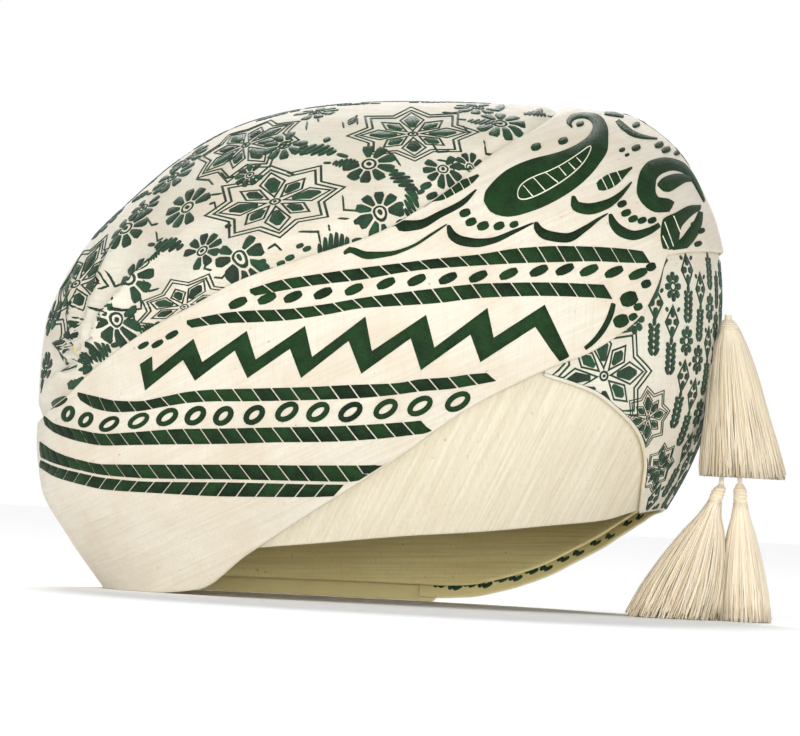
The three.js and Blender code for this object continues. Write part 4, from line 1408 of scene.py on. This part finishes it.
@dataclass(frozen=True)
class CrownPattern:
    """Rosettes, flowers, leaves and stepped lines on the crown, placed by the photo's pixels."""

    cloth: Cloth
    sight: Sight
    rosettes: Rows = (
        (275, 201.5, 345, 187, 280, 237.5), (184.5, 307, 137, 299, 208.5, 273.7),
        (413, 134, 347, 136, 415, 161),
    )
    far_rosettes: Rows = ((246, 145, 281, 128, 0.9), (76, 284, 105, 285, 0.9))
    flowers: Rows = (
        (132, 280, 141, 265, 1), (111.5, 318, 108, 332, 1), (127, 229, 121, 243, 1),
        (187, 207, 178, 206, 1), (201, 250, 214, 240, 0.85), (239, 257, 244, 269, 0.95),
        (369, 164, 380, 170, 1), (380, 212, 368, 206, 0.9), (250, 175, 238, 180, 0.62),
        (500, 123.5, 520, 128, 1), (65.7, 341, 64, 355, 0.9), (173, 177, 165, 186, 1),
        (443, 169, 446, 180, 0.75), (285, 145, 278, 149, 0.9), (315, 113, 330, 110, 0.9),
        (478, 108, 465, 109, 0.9), (470, 168, 476, 160, 0.6), (44, 372, 44, 360, 0.8),
        (52, 316, 49, 330, 0.8), (144, 208, 137, 218, 0.75),
    )
    leaves: Rows = (
        (168, 245.5, 155, 244, 1), (402, 180, 410, 190, 1), (318, 150, 332, 153, 1.1),
        (345, 163, 335, 163, 0.7), (334, 246, 350, 242, 0.9), (530, 139, 540, 142, 0.7),
        (411, 200, 408, 210, 0.8), (482, 122, 474, 121, 0.8), (536, 113, 550, 117, 0.8),
        (98, 352, 110, 346, 0.8), (84, 360, 72, 366, 0.6), (352, 121, 360, 113, 0.5),
        (157, 256, 150, 262, 0.5), (148, 330, 160, 322, 0.5),
    )
    lines: tuple[Rows, ...] = (
        ((294, 231.6), (318.3, 231.6), (320.8, 246)), ((328.5, 222.6), (329.7, 232.9)),
        ((342.5, 192), (343.8, 209.9), (362, 211)), ((335, 218), (352, 219)),
        ((208, 204.5), (214.5, 202.5), (216.5, 211)), ((206, 195.5), (226, 193)),
        ((433.5, 159), (452.5, 162.5), (454.7, 176)), ((458, 169), (474.8, 169)),
        ((483.7, 137), (486, 153.6), (501.6, 155.8)), ((462.5, 123.5), (469, 134.6)),
        ((308, 118), (305.5, 133)), ((318, 117), (318.5, 123)), ((342.5, 120), (344, 130)),
        ((357, 115), (357.5, 127)), ((285, 171.6), (296.6, 175.5)),
        ((106, 268.6), (110, 284), (119, 280)), ((142, 277.5), (145, 289), (157.5, 286)),
        ((134.6, 289), (137, 307), (109, 309)), ((91, 309), (104, 307), (106.5, 314.5)),
        ((119, 317), (129.5, 314.5), (134.6, 323.4)), ((220, 171), (226, 178), (236, 176)),
        ((145, 215), (150, 224), (158, 222)), ((226, 163), (231, 157), (240, 160)),
        ((193, 179), (209, 180), (214, 186)), ((154, 228), (156, 240), (164, 237)),
        ((206, 256), (203.5, 268), (212, 270)), ((96, 258), (104, 252), (100, 246)),
        ((386, 150), (394, 156), (402, 168)), ((430, 140), (438, 152), (452, 151)),
        ((440, 112), (452, 113), (467, 111)), ((508, 143), (514, 150)),
        ((266, 250), (275, 244), (283, 252)), ((228, 271), (222, 278), (212, 277)),
    )
    dots: Rows = (
        (398, 206, 6), (400, 222, 4), (359, 221, 5.5), (271, 271, 5), (281, 263.5, 4.5),
        (307, 249, 4.5), (109, 369, 9), (105, 381, 7), (75, 383, 10), (60, 402, 9),
        (538, 112, 5), (556, 117, 5), (500, 108, 5), (86, 370, 7), (66, 368, 6),
        (290, 258, 5), (262, 262, 4.5), (300, 246, 4), (426, 186, 6), (432, 196, 6), (421, 192, 4),
        (356, 178, 4), (327, 140, 4), (303, 153, 4), (228, 226, 3.4), (160, 190, 4), (112, 244, 4),
    )
    top_rosettes: Rows = ((-64, 0, 0, 0.72), (-12, 0, 0, 0.72), (-142, 0, 0, 0.72))
    top_flowers: Rows = (
        (-38, 13, 90, 0.9), (-38, -13, -90, 0.9), (15, 15, 60, 0.9), (15, -15, -60, 0.9),
        (-94, 12, 120, 0.8), (-94, -12, -120, 0.8), (32, 0, 0, 0.9), (-112, 36, 90, 0.9),
        (-112, -36, -90, 0.9), (-205, 30, 90, 0.9), (-205, -30, -90, 0.9),
    )
    top_leaves: Rows = (
        (-28, 27, 20, 0.9), (-28, -27, -20, 0.9), (-62, 24, 0, 0.9), (-62, -24, 0, 0.9),
        (-38, 0, 180, 0.9), (3, 27, 160, 0.9), (3, -27, 200, 0.9), (14, 0, 180, 0.6),
        (-112, 0, 0, 0.8), (-205, 0, 90, 0.9), (-160, 40, 60, 0.9), (-160, -40, -60, 0.9),
    )

    def build(self, material: bpy.types.Material) -> list[bpy.types.Object]:
        """Makes the crown's pattern on both sides, and the one between them on the top."""
        return [self.build_sides(material), self.build_top(material)]

    def build_sides(self, material: bpy.types.Material) -> bpy.types.Object:
        """Makes the pattern of the two sides as one piece."""
        art = Stitching("crown_embroidery", self.cloth, self.sight, seed=4)
        for row in self.rosettes:
            Motif.framed(art, row).rosette()
        for row in self.far_rosettes:
            Motif.seen(art, row).rosette()
        for row in self.flowers:
            Motif.seen(art, row).flower()
        for row in self.leaves:
            Motif.seen(art, row).leaf()
        for line in self.lines:
            art.stroke(art.photo, line, 1.4, fine=True)
        for x, y, size in self.dots:
            art.dot(x, y, size, size * 0.6)
        return art.build(material)

    def build_top(self, material: bpy.types.Material) -> bpy.types.Object:
        """Makes the pattern between the two sides', on the top."""
        art = Stitching("top_embroidery", self.cloth, self.sight, mirrored=False, seed=12)
        for row in self.top_rosettes:
            Motif.above(art, row).rosette()
        for row in self.top_flowers:
            Motif.above(art, row).flower()
        for row in self.top_leaves:
            Motif.above(art, row).leaf()
        return art.build(material)


@dataclass(frozen=True)
class BackPattern:
    """Columns of small flowers and leaves down the back wrap."""

    cloth: Cloth
    sight: Sight
    column_pitch: float = 9.8
    row_pitch: float = 13.6
    lowest: float = 24
    highest: float = 138
    start: float = 300
    end: float = 440
    clear: float = 27
    chain: Rows = ((668, 257, 2.4), (661, 266, 3.4), (658.5, 278, 3.4), (655.5, 290, 3.4), (651, 303, 2.4))
    rosettes: Rows = ((604, 376, 640, 371, 0.92), (648, 418, 660, 414, 0.5), (659, 468, 668, 464, 0.42))
    hem_step: float = 4.5
    hem_rise: float = 4

    def build(self, material: bpy.types.Material) -> list[bpy.types.Object]:
        """Makes the back's pattern and the print on its hem."""
        return [self.build_columns(material), self.build_hem(material)]

    def build_columns(self, material: bpy.types.Material) -> bpy.types.Object:
        """Makes the stars and the columns of sprigs between them as one piece."""
        art = Stitching("back_embroidery", self.cloth, self.sight, mirrored=False, seed=6)
        form = self.cloth.form
        stars = [Motif.seen(art, row) for row in self.rosettes]
        for star in stars:
            star.rosette()
        azimuth = self.start
        column = 0
        while azimuth < self.end:
            first = self.lowest + column % 2 * self.row_pitch / 2
            for row_number, height in enumerate(np.arange(first, self.highest, self.row_pitch)):
                turned = np.array([azimuth])
                elevation = form.elevation_at(turned, np.array([height]))
                motif = Motif.upright(art, float(azimuth), float(elevation[0]))
                apart = [np.linalg.norm(motif.middle - star.middle) / row[4]
                         for star, row in zip(stars, self.rosettes)]
                if min(apart) > self.clear:
                    motif.sprig((row_number + column) % 3)
            azimuth += np.degrees(self.column_pitch / form.reach(turned, np.array([0.0]))[0])
            column += 1
        art.curve(self.chain, 14)
        return art.build(material)

    def build_hem(self, material: bpy.types.Material) -> bpy.types.Object:
        """Makes the dark print on the hem's inner face, seen at the far rim."""
        wall = self.cloth.wall
        art = Stitching("hem_embroidery", self.cloth, self.sight, lift=-wall - 0.5,
                        edge=0.4 - wall, mirrored=False, seed=9)
        for k, azimuth in enumerate(np.arange(362, self.cloth.end - 2, self.hem_step)):
            turned = np.array([azimuth])
            rim = self.cloth.lower(turned)
            rise = self.cloth.edges.span(turned, rim, self.hem_rise)
            motif = Motif.upright(art, float(azimuth), float((rim + rise)[0]))
            for way, length in ((-0.6, 4.6), (0.6, 3.6), (1.5, 3)):
                motif.blob((1.6 * way, 1.1 * (k % 2) - 0.5), way, length, 2.1)
        return art.build(material)


@dataclass(frozen=True)
class Tassel:
    """A tassel of loose strands bound at a head, leaning aside as it falls."""

    name: str
    placing: Placing
    top: Place
    length: float
    skirt: float
    head: float
    lean: tuple[float, float]
    strands: int
    seed: int = 5
    strand_radius: float = 0.26
    bands: int = 7
    locks: int = 12
    lock_ridge: float = 0.05
    ragged: float = 0.11
    flare_rows: Rows = (
        (0.0, -0.4), (0.05, -0.1), (0.1, 0.02), (0.17, 0.16), (0.38, 0.44), (0.62, 0.66),
        (0.86, 0.9), (1.0, 1.0),
    )
    neck: float = 0.1
    core: float = 0.84

    def radius(self, along: Array) -> Array:
        """Radius of the whole tassel at shares of its length."""
        flare = Table(self.flare_rows)(along)
        return np.maximum(self.head + (self.skirt - self.head) * flare, self.head / 3)

    def centre(self, along: Array) -> Array:
        """Middle line at shares of its length."""
        drop = np.stack([self.lean[0] * along, self.lean[1] * along, -self.length * along], -1)
        return np.array(self.top) + drop

    def strand_tubes(self) -> tuple[Array, Array, Array]:
        """Vertices, faces and shades of the strands; strands nearer the middle get painted shade."""
        random = np.random.default_rng(self.seed)
        count = self.strands
        angle = random.uniform(0, 2 * np.pi, count)
        share = np.sqrt(random.uniform(0.5, 1, count))
        ends = 1 - self.ragged * random.uniform(0, 1, count) ** 2
        along = np.linspace(self.neck * 0.8, 1, 9)[None, :] * ends[:, None]
        lock = self.lock_ridge * np.cos(self.locks * angle)[:, None] * along
        spread = self.radius(along) * (share[:, None] + lock) * 0.98
        wander = np.cumsum(random.normal(0, 0.02, along.shape), 1) * along
        turned = angle[:, None] + wander
        line = self.centre(along)
        line[..., 0] += spread * np.cos(turned)
        line[..., 1] += spread * np.sin(turned)
        sides = np.radians([0, 90, 180, 270])
        thick = self.strand_radius * random.uniform(0.8, 1.15, count)
        ring = np.stack([np.cos(sides), np.sin(sides), 0 * sides], -1)
        points = line[:, :, None, :] + ring[None, None] * thick[:, None, None, None]
        rows = along.shape[1]
        tube = grid_faces(rows, 4, False, True)
        caps = np.array([[3, 2, 1, 0], [rows * 4 - 4, rows * 4 - 3, rows * 4 - 2, rows * 4 - 1]])
        one = np.concatenate([tube, caps])
        faces = (one[None] + (np.arange(count) * rows * 4)[:, None, None]).reshape(-1, 4)
        # Random tone for each strand, plus painted shade: strands nearer the middle are darker, as if
        # shaded by the outer ones.
        tone = np.clip(random.normal(0.4, 0.28, count) + 0.35 * (1 - share), 0, 1)
        shade = np.broadcast_to(tone[:, None, None], (count, rows, 4))
        return points.reshape(-1, 3), faces, shade.ravel()

    def head_body(self) -> tuple[Array, Array, Array]:
        """Vertices, faces and shades of the bound head and the body within the strands."""
        along = np.concatenate([np.linspace(0, self.neck, 40), np.linspace(self.neck + 0.02, 0.93, 16)])
        angle = np.radians(np.arange(0, 360, 12))
        groove = 0.5 - 0.5 * np.cos(2 * np.pi * self.bands * along / self.neck)
        bound = (along > self.neck * 0.2) & (along < self.neck)
        within = 1 - (1 - self.core) * smoothstep(along, self.neck, self.neck + 0.1)
        radius = self.radius(along) * within + np.where(bound, 0.3 * groove, 0)
        centre = self.centre(along)
        ring = np.stack([np.cos(angle), np.sin(angle), 0 * angle], -1)
        points = centre[:, None, :] + ring[None] * radius[:, None, None]
        rows, sides = len(along), len(angle)
        faces = [grid_faces(rows, sides, False, True)]
        total = rows * sides
        column = np.arange(sides)
        after = (column + 1) % sides
        faces.append(fan_faces(after, column, total))
        base = (rows - 1) * sides
        faces.append(fan_faces(base + column, base + after, total + 1))
        poles = self.centre(np.array([along[0] - 0.004, along[-1] + 0.01]))
        points = np.concatenate([points.reshape(-1, 3), poles])
        return points, np.concatenate(faces), np.full(len(points), 0.45)

    def build(self, material: bpy.types.Material) -> bpy.types.Object:
        """Makes the tassel in place of its CAD node."""
        head_points, head_faces, head_shade = self.head_body()
        points, faces, shade = self.strand_tubes()
        faces = np.concatenate([head_faces, faces + len(head_points)])
        piece = self.placing.piece(
            f"{self.name}_threads", np.concatenate([head_points, points]), faces, material,
            np.concatenate([head_shade, shade]))
        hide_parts(self.name)
        return piece


@dataclass(frozen=True)
class Cord:
    """A cord from inside the upper tassel to the top of a lower one."""

    name: str
    placing: Placing
    start: Place
    end: Place
    anchor: Place
    side: int
    diameter: float = 1.8
    steps: Rows = ((0.0, 0.0), (0.3, 0.4), (0.65, 0.3), (1.0, 0.0))

    def build(self, material: bpy.types.Material, tassel: bpy.types.Object) -> bpy.types.Object:
        """Args:
            material: the thread.
            tassel: the lower tassel at its end; not used.

        Returns:
            The cord.
        """
        share = np.linspace(0, 1, 16)
        line = np.array(self.start) * (1 - share[:, None]) + np.array(self.end) * share[:, None]
        line[:, 0] += self.side * Table(self.steps)(share)
        line = np.concatenate([line, [line[-1] + np.array(self.anchor) / 2, line[-1] + self.anchor]])
        placed = self.placing.place(line)
        curve = bpy.data.curves.new(f"{self.name}_twist", "CURVE")
        curve.dimensions = "3D"
        curve.bevel_depth = self.diameter / 2 * MM
        curve.bevel_resolution = 3
        curve.use_fill_caps = True
        spline = curve.splines.new("POLY")
        spline.points.add(len(placed) - 1)
        spline.points.foreach_set("co", np.column_stack([placed, np.ones(len(placed))]).ravel())
        curve.materials.append(material)
        piece = bpy.data.objects.new(f"{self.name}_twist", curve)
        bpy.context.scene.collection.objects.link(piece)
        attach(piece, "root")
        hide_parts(self.name)
        self.diameter * MM
        return piece


@dataclass(frozen=True)
class TasselGroup:
    """The upper tassel at the nape and the two that hang below it."""

    cloth: Cloth
    placing: Placing
    knot_azimuth: float = 347
    knot_height: float = 112
    seat: float = 0.3
    depth: float = 2.2
    length: float = 62
    skirt: float = 16.5
    head: float = 4
    lean: tuple[float, float] = (8, -15)
    strands: int = 1700
    foot_share: float = 0.45
    lower_length: float = 52
    lower_head: float = 2.4
    lower_strands: int = 1100
    lower_neck: float = 0.17
    spread: float = 7
    cord_spread: float = 2.7
    head_share: float = 0.12
    neck_share: float = 0.24
    anchor_share: float = 0.3
    bound_rows: Rows = (
        (0.0, -0.12), (0.05, 0.0), (0.12, 0.01), (0.17, -0.05), (0.24, 0.14), (0.38, 0.4),
        (0.6, 0.7), (0.8, 0.9), (1.0, 1.0),
    )

    def build(self, material: bpy.types.Material) -> None:
        """Makes the tassels and the cords."""
        form = self.cloth.form
        azimuth = np.array([self.knot_azimuth])
        elevation = form.elevation_at(azimuth, np.array([self.knot_height]))
        upper = form.point(azimuth, elevation, self.head - self.depth + self.seat)[0]
        upper[2] += self.length * self.head_share / 2
        foot = (upper[0] + self.lean[0] * self.foot_share, upper[1] + self.lean[1])
        bore = upper + np.array([*self.lean, -self.length]) * self.neck_share
        Tassel("tassel_upper", self.placing, tuple(upper), self.length, self.skirt, self.head,
               self.lean, self.strands).build(material)
        sizes = (
            ("tassel_lower_left", "cord_left", -1, 17.5, (-17, -4)),
            ("tassel_lower_right", "cord_right", 1, 10.5, (4, 1)),
        )
        for name, cord, side, skirt, lean in sizes:
            top = (foot[0] + side * self.spread / 2, foot[1], self.lower_length)
            tassel = Tassel(name, self.placing, top, self.lower_length, skirt, self.lower_head, lean,
                            self.lower_strands, 7 + side, neck=self.lower_neck,
                            flare_rows=self.bound_rows)
            made = tassel.build(material)
            start = (bore[0] + side * self.cord_spread / 2, bore[1], bore[2] - self.seat)
            end = (top[0], top[1], top[2] + self.seat)
            run = self.anchor_share
            anchor = (lean[0] * run, lean[1] * run, -self.lower_length * run)
            Cord(cord, self.placing, start, end, anchor, side).build(material, made)


@dataclass(frozen=True)
class Studio:
    """Camera at the photo's viewing angle, in millimetres, and soft light and a pale floor, in metres."""

    aim: Place = (-6, 0, 90.2)
    stand: Place = (-6, -3000, 45)
    roll: float = 2.9
    frame_width: float = 308
    sensor: float = 36
    floor_reach: float = 6
    floor_height: float = -0.00005
    floor_tints: tuple[Colour, Colour] = ((0.955, 0.955, 0.955, 1), (0.965, 0.965, 0.965, 1))
    horizon: tuple[float, float] = (0.12, 0.5)
    overhead: float = 0.3
    sun_place: Place = (-0.1, 1.6, 1.1)
    sun_spread: float = 20
    sun_power: float = 2.6
    lamp_aim: Place = (0, 0, 0.09)
    lamps: tuple[tuple[str, Place, float, float], ...] = (
        ("key", (-1.4, -1.8, 1.9), 1.4, 26),
        ("fill", (1.9, -1.6, 1.0), 1.6, 9),
        ("front", (0.1, -1.9, 0.12), 0.6, 23),
    )

    def axes(self) -> tuple[Array, Array, Array]:
        """The camera's directions to the right, up and ahead."""
        ahead = unit(np.array(self.aim, float) - self.stand)
        level = np.array([1.0, 0, 0])
        roll = np.radians(self.roll)
        right = level * np.cos(roll) + np.cross(level, ahead) * np.sin(roll)
        return right, np.cross(right, ahead), ahead

    @staticmethod
    def pose(turn: Array, place: Array) -> Matrix:
        """Matrix of a rotation and a place."""
        rows = np.column_stack([turn, place]).tolist()
        return Matrix([*rows, [0, 0, 0, 1]])

    def add_camera(self) -> None:
        """Adds a long lens at low height, rolled a little."""
        camera = bpy.data.cameras.new("camera")
        camera.sensor_width = self.sensor
        camera.lens = self.sensor * (self.aim[1] - self.stand[1]) / self.frame_width
        camera.clip_end = 20
        eye = bpy.data.objects.new("camera", camera)
        right, up, ahead = self.axes()
        turn = np.column_stack([right, up, -ahead])
        eye.matrix_world = self.pose(turn, np.array(self.stand) * MM)
        bpy.context.scene.collection.objects.link(eye)
        bpy.context.scene.camera = eye

    def add_light(self, light: bpy.types.Light, place: Place, aim: Place) -> None:
        """Hangs a light at a place in metres, turned to another."""
        lamp = bpy.data.objects.new(light.name, light)
        back = unit(np.subtract(place, aim))
        right = unit(np.cross((0, 0, 1.0), back))
        turn = np.column_stack([right, np.cross(back, right), back])
        lamp.matrix_world = self.pose(turn, np.array(place))
        bpy.context.scene.collection.objects.link(lamp)

    def add_lights(self) -> None:
        """Adds soft square lamps and an even sun, which lays a soft shadow toward the camera."""
        for name, place, size, power in self.lamps:
            light = bpy.data.lights.new(name, "AREA")
            light.energy = power
            light.size = size
            self.add_light(light, place, self.lamp_aim)
        sun = bpy.data.lights.new("sun", "SUN")
        sun.energy = self.sun_power
        sun.angle = np.radians(self.sun_spread)
        self.add_light(sun, self.sun_place, (0, 0, 0))

    def add_floor(self) -> None:
        """Adds a broad pale floor just under the object."""
        mesh = bpy.data.meshes.new("floor")
        corners = [(x * self.floor_reach, y * self.floor_reach, self.floor_height)
                   for x, y in ((-1, -1), (1, -1), (1, 1), (-1, 1))]
        mesh.from_pydata(corners, [], [(0, 1, 2, 3)])
        graph = Graph("floor_paint")
        tint = graph.noise(graph.place(), 3, 2).ramp(0.0, 1.0)
        colour = graph.mix(tint, *self.floor_tints)
        mesh.materials.append(graph.finish({"Base Color": colour, "Roughness": 0.9}))
        floor = bpy.data.objects.new("floor", mesh)
        bpy.context.scene.collection.objects.link(floor)
        floor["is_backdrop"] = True

    def add_world(self) -> None:
        """Adds a surround that is white about the horizon and dimmer overhead."""
        world = bpy.data.worlds.new("surround")
        world.use_nodes = True
        nodes, links = world.node_tree.nodes, world.node_tree.links
        ground = nodes["Background"]
        ground.inputs["Color"].default_value = (1, 1, 1, 1)
        way = nodes.new("ShaderNodeTexCoord")
        split = nodes.new("ShaderNodeSeparateXYZ")
        dim = nodes.new("ShaderNodeMapRange")
        limits = (*self.horizon, 1.0, self.overhead)
        for name, value in zip(("From Min", "From Max", "To Min", "To Max"), limits):
            dim.inputs[name].default_value = value
        links.new(way.outputs["Generated"], split.inputs["Vector"])
        links.new(split.outputs["Z"], dim.inputs["Value"])
        links.new(dim.outputs["Result"], ground.inputs["Strength"])
        bpy.context.scene.world = world

    def build(self) -> None:
        """Adds the camera, lights, floor and surround."""
        self.add_camera()
        self.add_lights()
        self.add_floor()
        self.add_world()
        bpy.context.scene.view_settings.view_transform = "Standard"


CREAM = ClothFinish("cream_cloth", (0.71, 0.675, 0.575, 1), (0.64, 0.545, 0.43, 1),
                    (0.58, 0.5, 0.36, 1), Grain.SLANTED, 0.7, 0.45, (0.75, 0.65, 0.32, 1))
PRINTED = ClothFinish("printed_cloth", (0.7, 0.675, 0.575, 1), (0.63, 0.55, 0.43, 1),
                      (0.57, 0.5, 0.37, 1), Grain.WEAVE, 0.7, 0.3, (0.75, 0.65, 0.32, 1))
PLAIN = ClothFinish("panel_cloth", (0.71, 0.66, 0.53, 1), (0.66, 0.59, 0.44, 1), (0.53, 0.44, 0.27, 1),
                    Grain.DIAGONAL, 0.4, 0.5)
LINING = ClothFinish("lining_cloth", (0.85, 0.75, 0.38, 1), (0.8, 0.68, 0.32, 1), (0.66, 0.53, 0.23, 1),
                     Grain.LEVEL, 0.5, 0.6)
DENSE = StitchFinish("dense_thread", (0.01, 0.042, 0.009, 1), (0.004, 0.013, 0.004, 1),
                     (0.06, 0.15, 0.06, 1), 0.02, 0.15)
PALE = ThreadFinish("pale_thread", (0.8, 0.76, 0.62, 1), (0.7, 0.64, 0.5, 1))


def make_cloths(form: Form, placing: Placing) -> list[Cloth]:
    """Lists the cloths from the inside out, each with its finish and its flat size in metres."""
    edges = Edges(form)
    relief = Relief(form, edges)
    common = {"form": form, "edges": edges, "placing": placing}
    return [
        Cloth("inner_cap", slot="lining_cloth", finish=LINING, flat=(0.36, 0.36), under=None,
              offset=relief.level(3), lower=edges.cap_rim, upper=None, wall=1.6,
              columns=180, rows=50, inner_rows=50, **common),
        Cloth("side_panel", slot="cream_cloth", finish=PLAIN, flat=(0.15, 0.058), under="inner_cap",
              offset=relief.level(2), lower=edges.rim, upper=edges.panel_upper,
              start=215, end=340, columns=160, rows=60, **common),
        Cloth("crown_cloth", slot="printed_cloth", finish=PRINTED, flat=(0.28, 0.215), under="inner_cap",
              offset=relief.crown, guide=relief.crown_bulge, lower=edges.crown_lower, upper=None,
              columns=480, rows=110, inner_rows=84, **common),
        Cloth("back_wrap", slot="printed_cloth", finish=PRINTED, flat=(0.27, 0.1), under="inner_cap",
              offset=relief.level(1), lower=edges.back_lower, upper=edges.back_upper,
              start=edges.back_tip, end=edges.back_far, columns=240, rows=80, **common),
        Cloth("front_wrap", slot="printed_cloth", finish=CREAM, flat=(0.62, 0.105), under="crown_cloth",
              offset=relief.wrap, lower=edges.wrap_lower, upper=edges.wrap_upper,
              columns=480, rows=90, **common),
    ]


def main() -> None:
    """Builds the turban and reports its pieces."""
    form = Form()
    placing = Placing(form)
    studio = Studio()
    studio.build()
    sight = Sight(studio, placing)
    cloths = {cloth.name: cloth for cloth in make_cloths(form, placing)}
    pieces = {name: cloth.build() for name, cloth in cloths.items()}
    thread = StitchFinish().build()
    dense_thread = DENSE.build()
    pale_thread = PALE.build()
    wrap, crown, back = cloths["front_wrap"], cloths["crown_cloth"], cloths["back_wrap"]
    on_wrap = WrapPattern(wrap, sight).build(dense_thread)
    on_wrap += PaisleyPattern(wrap, sight).build(dense_thread, pale_thread)
    patterns = {
        "front_wrap": on_wrap,
        "crown_cloth": CrownPattern(crown, sight).build(thread),
        "back_wrap": BackPattern(back, sight).build(thread),
    }
    TasselGroup(back, placing).build(ThreadFinish().build())


def corners() -> list[list[float]]:
    """Lowest and highest corner of the shown object as plain lists."""
    return [list(corner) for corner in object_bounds()]


if __name__ == "__main__":
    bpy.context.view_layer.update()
    main()
